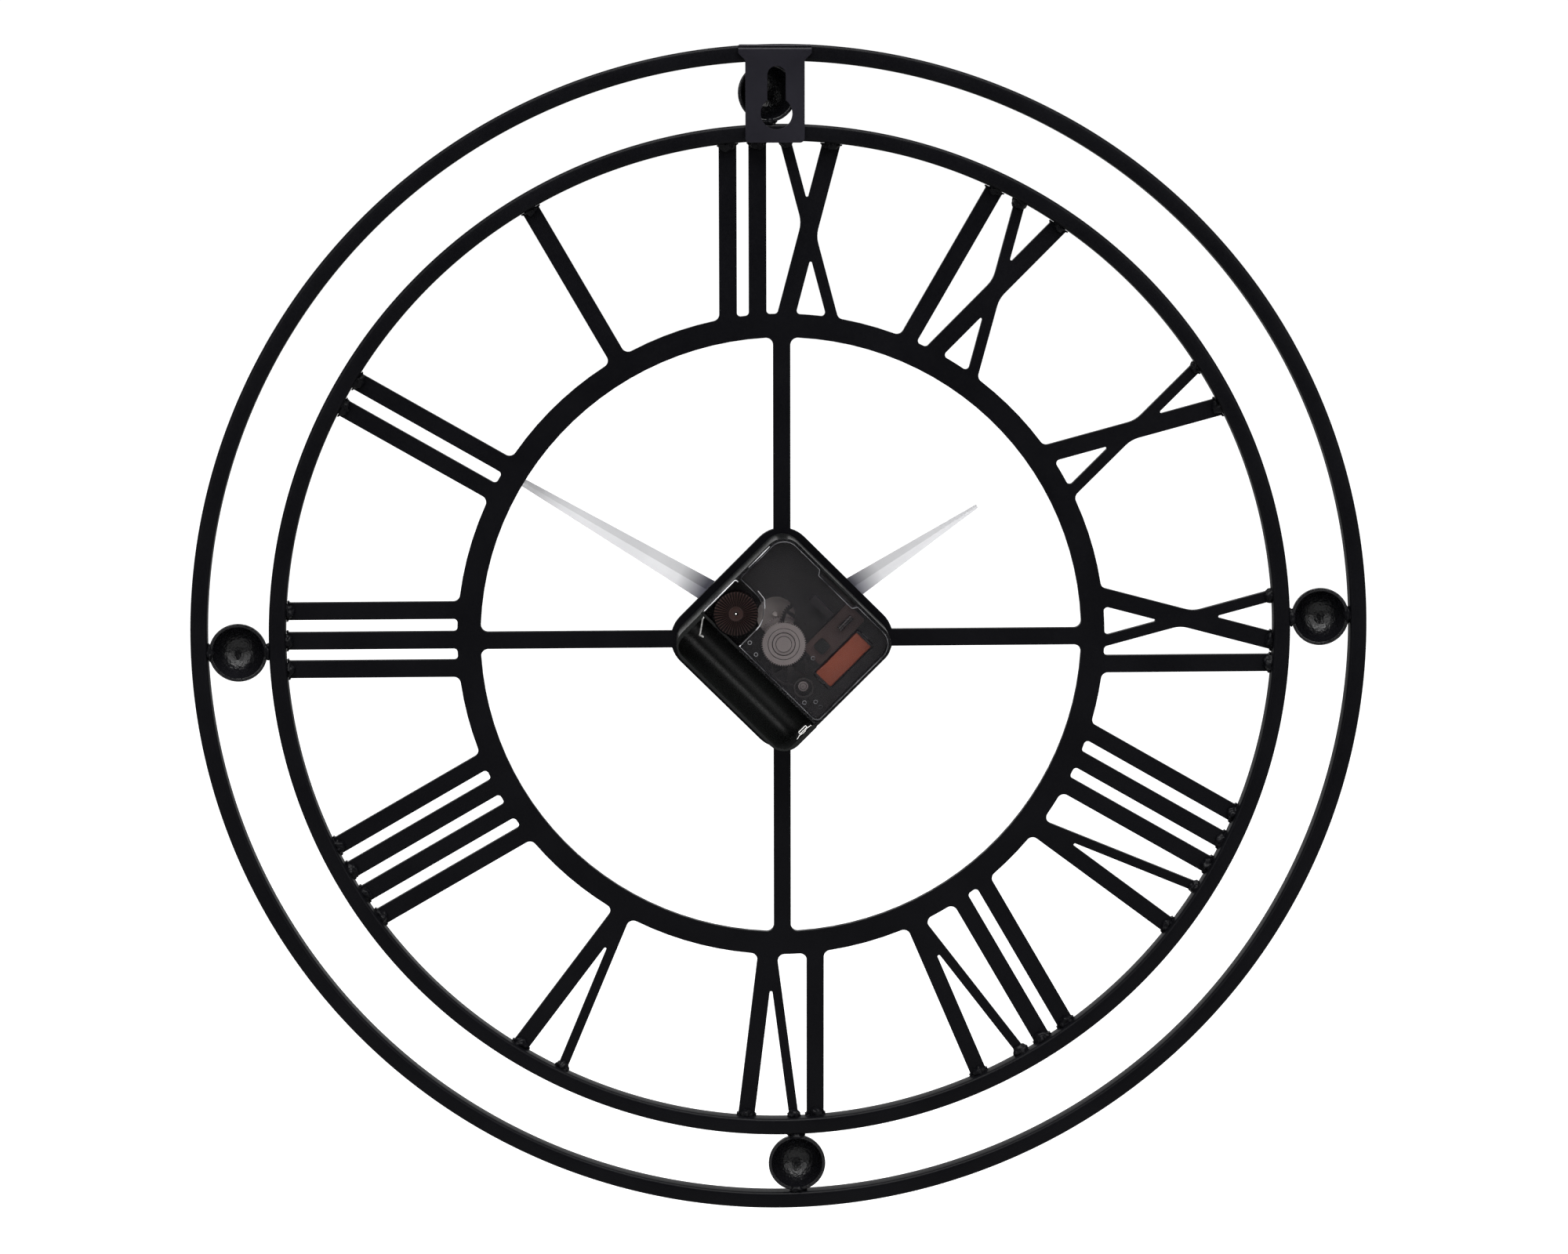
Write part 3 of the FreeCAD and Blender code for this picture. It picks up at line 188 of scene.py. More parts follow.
powder_coat = grained_material(
    "satin_black_powder_coat", colour=(0.0022, 0.0022, 0.003), mottle=(0.0034, 0.0034, 0.0044),
    gloss=(0.3, 0.4), grain_scale=1100.0, bump=0.5, Specular_IOR_Level=0.07)


def shade_smooth(mesh, up_to):
    """Shade a mesh smooth, with sharp edges kept above an angle in degrees."""
    mesh.polygons.foreach_set("use_smooth", [True] * len(mesh.polygons))
    mesh.set_sharp_from_angle(angle=math.radians(up_to))


def piece_from(name, bm, material, smooth_angle=35.0):
    """A finished piece from a bmesh, shaded smooth up to an angle."""
    bmesh.ops.recalc_face_normals(bm, faces=bm.faces)
    mesh = bpy.data.meshes.new(name)
    bm.to_mesh(mesh)
    bm.free()
    shade_smooth(mesh, smooth_angle)
    mesh.materials.append(material)
    piece = bpy.data.objects.new(name, mesh)
    bpy.context.scene.collection.objects.link(piece)
    return piece


def skin(bm, rows, closed=False):
    """Join rows of points into a tube; a tube that isn't closed on itself gets two end faces."""
    for row, following in zip(rows, rows[1:] + rows[:1] if closed else rows[1:]):
        for index in range(len(row)):
            after = (index + 1) % len(row)
            bm.faces.new((row[index], row[after], following[after], following[index]))
    if not closed:
        bm.faces.new(rows[0])
        bm.faces.new(rows[-1])


def turned(bm, profile, centre, segments):
    """Revolve a closed profile of (radius, along) points about the front-to-back line at centre."""
    rows = []
    for step in range(segments):
        angle = 2 * math.pi * step / segments
        rows.append([bm.verts.new(centre + Vector(
            (radius * math.cos(angle), along, radius * math.sin(angle))))
            for radius, along in profile])
    skin(bm, rows, closed=True)


def rounded_section(inner, outer, front, back, corner, steps=5):
    """The outline of a bar's section: (radius, along) round its four rounded corners."""
    outline = []
    corners = ((outer, back, 0), (inner, back, 90), (inner, front, 180), (outer, front, 270))
    for radius, along, start in corners:
        middle_radius = radius - corner if radius == outer else radius + corner
        middle_along = along - corner if along == back else along + corner
        for step in range(steps + 1):
            angle = math.radians(start + 90 * step / steps)
            outline.append((middle_radius + corner * math.cos(angle),
                            middle_along + corner * math.sin(angle)))
    return outline


bar_width = 5.7 * MM
bar_corner = 1.15 * MM
for node in ("outer_ring", "inner_ring"):
    low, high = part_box(node)
    outer_radius = (high[0] - low[0]) / 2
    hoop_mesh = bmesh.new()
    turned(hoop_mesh, rounded_section(outer_radius - bar_width, outer_radius, low[1], high[1],
                                      bar_corner), clock_centre, segments=480)
    hoop = piece_from(node + "_bar", hoop_mesh, powder_coat, 60.0)
    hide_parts(node)
    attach(hoop, "clock")


# ---- dial -------------------------------------------------------------------------------------
# One 2 mm steel sheet, laser cut and powder coated with the hoops: numerals, hour band, cross and
# centre plate. The coat rounds the cut edges a little.

nodes = frame["nodes"]
merge_gap = 0.002 * MM


def worked_copy(node, name, material, edge):
    """The CAD node's mesh as a new piece, its sharp edges rounded by a small amount."""
    bm = bmesh.new()
    bm.from_mesh(nodes[node].data)
    bmesh.ops.remove_doubles(bm, verts=bm.verts, dist=merge_gap)
    bmesh.ops.dissolve_limit(bm, angle_limit=math.radians(0.6), verts=bm.verts, edges=bm.edges)
    piece = piece_from(name, bm, material, 30.0)
    rounding = piece.modifiers.new("edge", "BEVEL")
    rounding.width = edge
    rounding.segments = 2
    rounding.limit_method = "ANGLE"
    rounding.angle_limit = math.radians(35)
    rounding.harden_normals = False
    rounding.use_clamp_overlap = True
    evening = piece.modifiers.new("evening", "WEIGHTED_NORMAL")
    evening.keep_sharp = True
    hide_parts(node)
    return piece


dial = worked_copy("dial_plate", "dial_sheet", powder_coat, edge=0.28 * MM)
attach(dial, "clock")


# ---- weld beads -------------------------------------------------------------------------------
# A short bead of weld behind each stroke's end, in the corner with the inner hoop: cast metal,
# lumpy, under the same black coat.

weld_coat = grained_material(
    "coated_weld", colour=(0.0022, 0.0022, 0.003), mottle=(0.004, 0.004, 0.005),
    gloss=(0.26, 0.4), grain_scale=700.0, bump=0.6, bump_depth=0.05 * MM, Specular_IOR_Level=0.08)


def islands(node):
    """The (lowest, highest) corners of each separate solid in a CAD node, in turn round the dial."""
    bm = bmesh.new()
    bm.from_mesh(nodes[node].data)
    bmesh.ops.remove_doubles(bm, verts=bm.verts, dist=merge_gap)
    waiting = set(bm.verts)
    found = []
    while waiting:
        group = [waiting.pop()]
        for vert in group:
            for edge in vert.link_edges:
                other = edge.other_vert(vert)
                if other in waiting:
                    waiting.discard(other)
                    group.append(other)
        found.append((Vector([min(vert.co[i] for vert in group) for i in range(3)]),
                      Vector([max(vert.co[i] for vert in group) for i in range(3)])))
    bm.free()
    found.sort(key=lambda corners: math.atan2((corners[0] + corners[1]).z / 2 - hand_axis.z,
                                              (corners[0] + corners[1]).x / 2 - hand_axis.x))
    return found


def outward(low, high):
    """The direction from the hands' axis to the middle of a box, in the dial's plane."""
    middle = (low + high) / 2
    return Vector((middle.x - hand_axis.x, 0, middle.z - hand_axis.z)).normalized()


def lump(bm, centre, out, half, seed):
    """A lumpy drop of weld: half is its half sizes (round the dial, outwards, in depth)."""
    round_way = Vector((out.z, 0, -out.x))
    unevenness = 0.3
    made = bmesh.ops.create_icosphere(bm, subdivisions=4, radius=1.0)
    for vert in made["verts"]:
        place = vert.co
        swell = 1 + unevenness * noise.noise(place * 1.6 + Vector((seed, 0, 0)))
        swell += 0.35 * unevenness * noise.noise(place * 4.5 + Vector((0, seed, 0)))
        vert.co = centre + swell * (round_way * place.x * half[0] + out * place.y * half[1]
                                    + Vector((0, 1, 0)) * place.z * half[2])


random.seed(11)
ring_low, ring_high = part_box("inner_ring")
ring_wall = (ring_high[0] - ring_low[0]) / 2 - bar_width
dial_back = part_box("dial_plate")[1][1]
bead_sink = 0.3 * MM
bead_mesh = bmesh.new()
for low, high in islands("numeral_welds"):
    out = outward(low, high)
    size = random.uniform(0.82, 1.05)
    centre = Vector((hand_axis.x, dial_back, hand_axis.z)) + out * (ring_wall - bead_sink)
    lump(bead_mesh, centre, out, (2.7 * MM * size, 2.5 * MM * size, 2.6 * MM * size),
         seed=random.uniform(0, 50))
beads = piece_from("stroke_end_beads", bead_mesh, weld_coat, 80.0)
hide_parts("numeral_welds")
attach(beads, "clock")


# ---- half balls -------------------------------------------------------------------------------
# Four half balls pressed from 1.2 mm sheet, hollow side to the wall, each held between the hoops
# by a blob of weld on either side. The coat pools inside them, rough and a little shinier.

ball_coat = grained_material(
    "pooled_black_coat", colour=(0.0022, 0.0022, 0.003), mottle=(0.0048, 0.0048, 0.006),
    gloss=(0.16, 0.34), grain_scale=900.0, bump=1.0, bump_depth=0.22 * MM,
    Specular_IOR_Level=0.34)
ball_wall = 1.2 * MM
lip = ball_wall / 2
pole_radius = 0.0001 * MM
dome_steps = 24
lip_steps = 8
for side in ("top", "right", "bottom", "left"):
    node = "half_ball_" + side
    low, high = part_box(node)
    radius = (high[0] - low[0]) / 2
    rim_centre = Vector(((low[0] + high[0]) / 2, high[1], (low[2] + high[2]) / 2))
    profile = []
    for step in range(dome_steps + 1):
        angle = math.radians(90 - 90 * step / dome_steps)
        profile.append((max(radius * math.cos(angle), pole_radius), -radius * math.sin(angle)))
    for step in range(1, lip_steps):
        angle = math.radians(180 * step / lip_steps)
        profile.append((radius - lip + lip * math.cos(angle),
                        -lip * 0.5 + lip * 0.5 * math.sin(angle)))
    for step in range(dome_steps + 1):
        angle = math.radians(90 * step / dome_steps)
        profile.append((max((radius - ball_wall) * math.cos(angle), pole_radius),
                        -(radius - ball_wall) * math.sin(angle)))
    ball_mesh = bmesh.new()
    turned(ball_mesh, profile, rim_centre, segments=96)
    bmesh.ops.remove_doubles(ball_mesh, verts=ball_mesh.verts, dist=0.001 * MM)
    ball = piece_from(node + "_shell", ball_mesh, ball_coat, 70.0)
    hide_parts(node)
    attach(ball, "clock")

blob_mesh = bmesh.new()
for low, high in islands("half_ball_welds"):
    lump(blob_mesh, (low + high) / 2, outward(low, high), (3.1 * MM, 1.5 * MM, 3.0 * MM),
         seed=random.uniform(0, 50))
blobs = piece_from("half_ball_weld_blobs", blob_mesh, weld_coat, 80.0)
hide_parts("half_ball_welds")
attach(blobs, "clock")


# ---- hanger -----------------------------------------------------------------------------------
# A 1.5 mm steel plate with a keyhole, punched, welded across the backs of both hoops and coated
# with them. Its top edge is hammered over the hoop. Its flat back is coloured a lighter grey black
# than the hoops, a painted sheen for the light that the flat back reflects.

# Same black coat as the hoops, coloured lighter grey black here as painted sheen on the flat back.
hanger_painted_sheen_coat = grained_material(
    "black_coat_with_painted_sheen", colour=(0.0078, 0.0074, 0.0105), mottle=(0.0115, 0.011, 0.015),
    gloss=(0.32, 0.42), grain_scale=1100.0, bump=0.4, Specular_IOR_Level=0.14)
hanger = worked_copy("hanger_plate", "hanger_sheet", hanger_painted_sheen_coat, edge=0.2 * MM)
bend_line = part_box("hanger_plate")[1][2] - 1.9 * MM
bend_slope = 0.62
rear_skin = -0.2 * MM
bent = bmesh.new()
bent.from_mesh(hanger.data)
bmesh.ops.bisect_plane(bent, geom=bent.verts[:] + bent.edges[:] + bent.faces[:],
                       plane_co=(0, 0, bend_line), plane_no=(0, 0, 1))
for vert in bent.verts:
    if vert.co.z > bend_line + 0.01 * MM and vert.co.y > rear_skin:
        vert.co.y -= bend_slope * (vert.co.z - bend_line)
bent.to_mesh(hanger.data)
bent.free()
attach(hanger, "clock")


# ---- movement case ----------------------------------------------------------------------------
# The black moulded case of a one-battery quartz movement, with its empty battery bay. Its bush
# passes through the dial, and a nut in front of the dial holds it.

case_plastic = grained_material(
    "black_case_moulding", colour=(0.005, 0.0054, 0.0053), mottle=(0.0078, 0.0086, 0.0082),
    gloss=(0.24, 0.36), grain_scale=1600.0, bump=0.35, Specular_IOR_Level=0.3)
case = worked_copy("movement_case", "movement_case_moulding", case_plastic, edge=0.2 * MM)
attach(case, "clock")


# ---- gasket, bush and nut ---------------------------------------------------------------------
# A rubber gasket lies between the case and the dial. The threaded brass bush passes through both,
# and a brass washer and a hexagon nut, turned and milled, clamp them together.

def finish(material, *names):
    """Give CAD nodes whose shape is right their real material."""
    for name in names:
        mesh = nodes[name].data
        mesh.materials.clear()
        mesh.materials.append(material)
        mesh.polygons.foreach_set("material_index", [0] * len(mesh.polygons))
        shade_smooth(mesh, 30)


rubber = grained_material(
    "gasket_rubber", colour=(0.012, 0.012, 0.012), mottle=(0.02, 0.02, 0.02),
    gloss=(0.6, 0.75), grain_scale=1200.0, bump=0.4)
turned_brass = grained_material(
    "turned_brass", colour=(0.62, 0.42, 0.16), mottle=(0.7, 0.5, 0.22),
    gloss=(0.18, 0.3), grain_scale=1500.0, bump=0.2, Metallic=1.0)
finish(rubber, "rubber_washer")
finish(turned_brass, "centre_bush", "brass_washer", "mounting_nut")


# ---- battery contacts -------------------------------------------------------------------------
# At one end of the battery bay stands a bent wire spring, and at the other a wavy strip of nickel
# plated steel with a folded tab. Both are pushed into slots of the case. The strip's narrow crest is
# coloured bright nickel and its sides darker steel, a painted highlight along the crest.

slant = math.sqrt(0.5)


def in_movement(u, v, depth):
    """A point from the movement's own two directions in millimetres, at a depth in metres."""
    return Vector((hand_axis.x + (u - v) * slant * MM, depth, hand_axis.z + (u + v) * slant * MM))


def rounded_path(corners, closed=False, steps=7):
    """Points along straight runs between (u, v, radius) corners, each corner rounded."""
    path = []
    count = len(corners)
    for index, (u, v, radius) in enumerate(corners):
        here = Vector((u, v))
        if radius == 0 or (not closed and index in (0, count - 1)):
            path.append(here)
            continue
        before = (Vector(corners[index - 1][:2]) - here).normalized()
        after = (Vector(corners[(index + 1) % count][:2]) - here).normalized()
        half = before.angle(after) / 2
        middle = here + (before + after).normalized() * (radius / math.sin(half))
        start = here + before * (radius / math.tan(half)) - middle
        turn = start.angle_signed(here + after * (radius / math.tan(half)) - middle)
        for step in range(steps + 1):
            angle = -turn * step / steps
            path.append(middle + Vector((start.x * math.cos(angle) - start.y * math.sin(angle),
                                         start.x * math.sin(angle) + start.y * math.cos(angle))))
    return path


def rib(bm, path, width, low, high, closed=False):
    """A narrow rib with a rounded top along a path; its width is in millimetres like the path."""
    rows = []
    count = len(path)
    crown = high - (high - low) * 0.3
    section = ((-1, low), (-0.9, crown), (-0.45, high), (0.45, high), (0.9, crown), (1, low))
    for index, here in enumerate(path):
        before = path[index - 1] if closed or index else here
        after = path[(index + 1) % count] if closed or index < count - 1 else here
        along = (after - before).normalized()
        across = Vector((-along.y, along.x)) * width / 2
        spots = [(here + across * share, depth) for share, depth in section]
        rows.append([bm.verts.new(in_movement(spot.x, spot.y, depth)) for spot, depth in spots])
    skin(bm, rows, closed)


stamped_steel = grained_material(
    "stamped_motor_steel", colour=(0.3, 0.3, 0.31), mottle=(0.42, 0.42, 0.43),
    gloss=(0.25, 0.4), grain_scale=900.0, bump=0.3, Metallic=1.0)
contact_metal = grained_material(
    "nickel_contact", colour=(0.75, 0.74, 0.72), mottle=(0.85, 0.84, 0.82),
    gloss=(0.12, 0.25), grain_scale=700.0, bump=0.2, Metallic=0.3)
finish(contact_metal, "battery_spring")

wavy_strip = rounded_path([(-26.3, -20.0, 0), (-25.95, -18.3, 1.2), (-26.35, -16.6, 1.2),
                           (-25.95, -14.9, 1.2), (-26.3, -13.2, 0)])
folded_tab = rounded_path([(-25.75, -18.0, 0.2), (-24.95, -17.9, 0.2), (-25.0, -14.6, 0.2),
                           (-25.75, -14.7, 0.2)], closed=True, steps=3)
cover_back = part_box("movement_cover")[1][1]
contact_edge = cover_back - 0.6 * MM
painted_highlight_depth = 0.3 * MM
strip_depth = 8.0 * MM
tab_depth = 3.2 * MM


def contact_part(name, width, low, high, material):
    """The strip and its tab between two depths."""
    bm = bmesh.new()
    rib(bm, wavy_strip, width, low, high)
    rib(bm, folded_tab, width, max(low, contact_edge - tab_depth), high, closed=True)
    part = piece_from(name, bm, material, 50.0)
    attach(part, "clock")
    return part


# One plated strip: darker steel on its sides and bright nickel on its top 0.3 mm, a painted
# highlight.
contact = contact_part("folded_contact", 0.26, contact_edge - strip_depth,
                       contact_edge - painted_highlight_depth, stamped_steel)
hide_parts("battery_contact")
contact_part("contact_crest_painted_highlight", 0.34, contact_edge - painted_highlight_depth, contact_edge, contact_metal)


# ---- tray and motor ---------------------------------------------------------------------------
# The dark moulded tray sits on posts in the case and carries the stepping motor: a stator and core
# stamped from steel, and a moulded bobbin wound with enamelled copper wire.

tray_plastic = grained_material(
    "dark_tray_moulding", colour=(0.012, 0.0105, 0.011), mottle=(0.02, 0.017, 0.017),
    gloss=(0.35, 0.5), grain_scale=1500.0, bump=0.3)
finish(tray_plastic, "train_plate", "coil_bobbin")
finish(stamped_steel, "stator", "coil_core")

copper, copper_tree, copper_shader = blank_material("enamelled_copper_winding")
wire_turns = copper_tree.nodes.new("ShaderNodeTexWave")
wire_turns.wave_type = "BANDS"
wire_turns.bands_direction = "X"
wire_turns.inputs["Scale"].default_value = 900.0
wire_turns.inputs["Distortion"].default_value = 1.2
wire_turns.inputs["Detail"].default_value = 1.0
skew = copper_tree.nodes.new("ShaderNodeMapping")
skew.inputs["Rotation"].default_value = (0, math.radians(-45), 0)
coil_place = copper_tree.nodes.new("ShaderNodeTexCoord")
copper_tree.links.new(coil_place.outputs["Object"], skew.inputs["Vector"])
copper_tree.links.new(skew.outputs["Vector"], wire_turns.inputs["Vector"])
copper_colour = blend_colour(copper_tree, wire_turns.outputs["Fac"], (0.26, 0.045, 0.017, 1),
                             (0.4, 0.085, 0.036, 1))
copper_tree.links.new(copper_colour, copper_shader.inputs["Base Color"])
copper_shader.inputs["Roughness"].default_value = 0.35
bumped(copper_tree, wire_turns.outputs["Fac"], 0.6, 0.1 * MM, copper_shader)

coil_low, coil_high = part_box("coil_winding")
coil_middle = (Vector(coil_low) + Vector(coil_high)) / 2
run_way = Vector((-slant, 0, slant))
cross_way = Vector((slant, 0, slant))
coil_half_length = 9.8 * MM
coil_half_width = 3.6 * MM
coil_corner = 0.5 * MM
coil_swell = ((-1.0, 0.94), (-0.95, 1.0), (-0.5, 0.985), (0.0, 1.0), (0.45, 0.985), (0.95, 1.0),
              (1.0, 0.94))
winding_mesh = bmesh.new()
coil_rows = []
for run, swell in coil_swell:
    outline = rounded_section(-coil_half_width * swell, coil_half_width * swell, coil_low[1],
                              coil_high[1] - (1 - swell) * MM, coil_corner, 3)
    middle = Vector((coil_middle.x, 0, coil_middle.z)) + run_way * coil_half_length * run
    coil_rows.append([winding_mesh.verts.new(middle + cross_way * across + Vector((0, depth, 0)))
                      for across, depth in outline])
skin(winding_mesh, coil_rows)
winding = piece_from("coil_turns", winding_mesh, copper, 40.0)
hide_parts("coil_winding")
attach(winding, "clock")


# ---- circuit board ----------------------------------------------------------------------------
# A small pinkish laminate board, pressed onto the tray, with a black epoxy blob over its chip and
# the drawn metal can of the quartz crystal soldered on.

board_laminate = grained_material(
    "pinkish_board", colour=(0.05, 0.028, 0.025), mottle=(0.067, 0.04, 0.037),
    gloss=(0.4, 0.55), grain_scale=700.0, bump=0.3)
chip_epoxy = grained_material(
    "chip_epoxy", colour=(0.006, 0.006, 0.006), mottle=(0.012, 0.012, 0.012),
    gloss=(0.3, 0.45), grain_scale=1500.0, bump=0.4)
crystal_can = grained_material(
    "crystal_can_metal", colour=(0.06, 0.055, 0.055), mottle=(0.1, 0.09, 0.09),
    gloss=(0.2, 0.32), grain_scale=900.0, bump=0.2, Metallic=1.0)
finish(board_laminate, "circuit_board")
finish(chip_epoxy, "chip")
finish(crystal_can, "quartz_crystal")


# ---- wheels -----------------------------------------------------------------------------------
# Moulded acetal wheels that turn between the case and the tray, pale or dark. The pale seconds
# wheel lies under the cover and shows its stepped hub, with painted shade in the grooves between the
# steps.

wheel_acetal = grained_material(
    "pale_acetal", colour=(0.25, 0.21, 0.21), mottle=(0.32, 0.28, 0.275),
    gloss=(0.35, 0.5), grain_scale=900.0, bump=0.2)
dark_acetal = grained_material(
    "dark_acetal", colour=(0.014, 0.012, 0.012), mottle=(0.022, 0.018, 0.018),
    gloss=(0.35, 0.5), grain_scale=900.0, bump=0.2)
white_acetal = grained_material(
    "white_acetal", colour=(0.75, 0.66, 0.64), mottle=(0.85, 0.78, 0.76),
    gloss=(0.35, 0.5), grain_scale=900.0, bump=0.2)
finish(wheel_acetal, "seconds_wheel", "centre_wheel")
finish(dark_acetal, "intermediate_wheel", "third_wheel", "hour_wheel")
finish(white_acetal, "motion_wheel")


def raised_rings(name, material, bands, centre, foot, level, corner, segments):
    """Rings about one axis as a piece; bands are (inner, outer, rise) in millimetres."""
    bm = bmesh.new()
    for inner, outer, rise in bands:
        turned(bm, rounded_section(inner * MM, outer * MM, foot, level + rise * MM, corner, 2),
               centre, segments)
    return piece_from(name, bm, material, 40.0)


rim_start = 6.5 * MM
rim_back = max(vert.co.y for vert in nodes["seconds_wheel"].data.vertices
               if (vert.co - hand_axis).xz.length > rim_start)
hub_steps = ((0.55, 2.5, 0.34), (2.8, 3.75, 0.2), (4.1, 5.3, 0.12))
# The lower rings between the pale steps are coloured dark acetal: painted shade in the grooves.
hub_groove_painted_shade = ((2.5, 2.8, 0.16), (3.75, 4.05, 0.08), (5.3, 5.5, 0.05))
for name, bands, acetal in (("seconds_wheel_steps", hub_steps, wheel_acetal),
                            ("seconds_wheel_groove_painted_shade", hub_groove_painted_shade, dark_acetal)):
    hub = raised_rings(name, acetal, bands, clock_centre, foot=rim_back - 0.1 * MM,
                       level=rim_back, corner=0.03 * MM, segments=72)
    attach(hub, "seconds_train")


# ---- rotor ------------------------------------------------------------------------------------
# The motor's rotor: a pressed magnet on a moulded pinion, whose capped end stands behind the tray
# and turns under a round boss of the cover. Dark rings in the grooves of the pale cap are painted
# shade.

magnet_metal = grained_material(
    "rotor_magnet_metal", colour=(0.05, 0.05, 0.05), mottle=(0.1, 0.1, 0.1),
    gloss=(0.3, 0.5), grain_scale=900.0, bump=0.3, Metallic=0.8)
finish(magnet_metal, "rotor_magnet")
finish(wheel_acetal, "rotor_pinion")

rotor_axis = Vector(joints["rotor_turn"]["pos_m"])
rotor_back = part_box("rotor_pinion")[1][1] + 0.02 * MM
cap_rings = ((0.3, 1.05, 0.34), (1.2, 1.72, 0.45))
# Low dark acetal rings beside and between the pale cap rings: painted shade in the grooves.
groove_shade_rings = ((1.05, 1.2, 0.2), (1.72, 2.0, 0.2), (2.35, 2.5, 0.1))
shoulder_ring = ((2.0, 2.35, 0.16),)
for name, bands, moulding in (("rotor_cap", cap_rings, wheel_acetal),
                              ("rotor_groove_painted_shade", groove_shade_rings, dark_acetal),
                              ("rotor_shoulder", shoulder_ring, tray_plastic)):
    rotor_ring = raised_rings(name, moulding, bands,
                              Vector((rotor_axis.x, rotor_back, rotor_axis.z)),
                              foot=0.0, level=0.0, corner=0.06 * MM, segments=48)
    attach(rotor_ring, "rotor")

cover_thickness = 1.2 * MM
cover_inside = cover_back - cover_thickness
boss_mesh = bmesh.new()
turned(boss_mesh, rounded_section(3.0 * MM, 3.4 * MM, cover_inside - 0.9 * MM,
                                  cover_inside + 0.1 * MM, 0.1 * MM, 2),
       Vector((rotor_axis.x, 0, rotor_axis.z)), segments=64)
boss = piece_from("rotor_boss", boss_mesh, dark_acetal, 40.0)
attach(boss, "clock")


# ---- cover ------------------------------------------------------------------------------------
# A smoky clear moulding that closes the wheels in, open round the setting knob. A fine rib runs
# just inside its edge and along the bay; it is pressed into the case and held by its two clips.

def lower_back(piece, back, drop):
    """Bring a moulding's rearmost face forward, which leaves room for what stands on it."""
    for vert in piece.data.vertices:
        if vert.co.y > back - 0.05 * MM:
            vert.co.y -= drop


smoky, smoky_tree, smoky_shader = blank_material("smoky_clear_moulding")
streaks = noise_node(smoky_tree, 120.0).outputs["Fac"]
polish = noise_node(smoky_tree, 60.0).outputs["Fac"]
smoke = blend_colour(smoky_tree, remap(smoky_tree, streaks, 0.0, 1.0, 0.3, 0.7),
                     (0.014, 0.014, 0.0155, 1), (0.025, 0.0235, 0.027, 1))
smoky_tree.links.new(smoke, smoky_shader.inputs["Base Color"])
smoky_tree.links.new(remap(smoky_tree, polish, 0.08, 0.16), smoky_shader.inputs["Roughness"])
smoky_tree.links.new(remap(smoky_tree, streaks, 0.18, 0.26), smoky_shader.inputs["Alpha"])
smoky_shader.inputs["IOR"].default_value = 1.5
smoky_shader.inputs["Specular IOR Level"].default_value = 0.25
cover = worked_copy("movement_cover", "movement_cover_moulding", smoky, edge=0.15 * MM)
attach(cover, "clock")
lower_back(cover, cover_back, drop=0.35 * MM)


def painted_highlight_material(name, dull, bright):
    """Painted highlight for clear moulding seen along its edge: a base colour uneven between a dull
    and a bright tone.
    """
    material, tree, shader = blank_material(name)
    tone = noise_node(tree, 170.0, detail=2.0).outputs["Fac"]
    highlight_colour = blend_colour(tree, remap(tree, tone, 0.0, 1.0, 0.35, 0.65), (*dull, 1), (*bright, 1))
    tree.links.new(highlight_colour, shader.inputs["Base Color"])
    tree.links.new(remap(tree, tone, 0.1, 0.22), shader.inputs["Roughness"])
    shader.inputs["Alpha"].default_value = 0.85
    return material


# The cover's ribs are coloured lighter than the smoky cover: painted highlight, on top of their real
# gloss.
rib_painted_highlight = painted_highlight_material("cover_rib_painted_highlights", dull=(0.02, 0.02, 0.023), bright=(0.17, 0.17, 0.18))
cover_outline = rounded_path([
    (26.9, 6.4, 0), (26.9, 26.9, 5.9), (9.6, 26.9, 0.6), (8.6, 25.2, 0.6), (-7.6, 25.2, 0.6),
    (-8.6, 26.9, 0.6), (-26.9, 26.9, 5.9), (-26.9, -11.0, 2.0), (10.2, -11.0, 0)])
bay_edge = rounded_path([(10.5, -11.1, 0), (10.5, 5.8, 8.8), (26.4, 5.8, 0.5), (26.9, 6.6, 0)],
                        steps=16)
rib_foot = cover_back - 1.1 * MM
rib_mesh = bmesh.new()
rib(rib_mesh, cover_outline, 0.32, rib_foot, cover_back)
rib(rib_mesh, bay_edge, 0.26, rib_foot, cover_back - 0.05 * MM)
ribs = piece_from("cover_ribs", rib_mesh, rib_painted_highlight, 50.0)
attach(ribs, "clock")

# Thin ribs along the bay's bend, corner and sides, coloured nearly white: painted highlights on the
# cover's edges.
painted_highlight_edge = painted_highlight_material("cover_edges_painted_highlight", dull=(0.2, 0.2, 0.21), bright=(0.85, 0.85, 0.88))
highlight_bend = [point for point in bay_edge if -3.2 < point.y < 1.6]
bay_corner = rounded_path([(10.5, -11.0, 0), (10.5, -10.4, 0)])
side_line = rounded_path([(27.5, 10.5, 0), (27.5, 20.6, 0)])
bay_side = rounded_path([(27.7, -10.8, 0), (27.7, 4.4, 0.6), (26.6, 4.4, 0)])
bay_glint = rounded_path([(19.6, 7.0, 0), (16.0, 6.6, 2.0), (13.6, 4.4, 0)])
highlight_mesh = bmesh.new()
for path, width, foot, crest in ((highlight_bend, 0.34, 0.9, 0.0), (bay_corner, 0.36, 0.9, 0.0),
                                 (side_line, 0.3, 0.6, 0.0), (bay_side, 0.34, 1.1, 0.1),
                                 (bay_glint, 0.22, 0.5, 0.2)):
    rib(highlight_mesh, path, width, cover_back - foot * MM, cover_back - crest * MM)
highlight_ribs = piece_from("cover_bay_painted_highlights", highlight_mesh, painted_highlight_edge, 50.0)
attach(highlight_ribs, "clock")

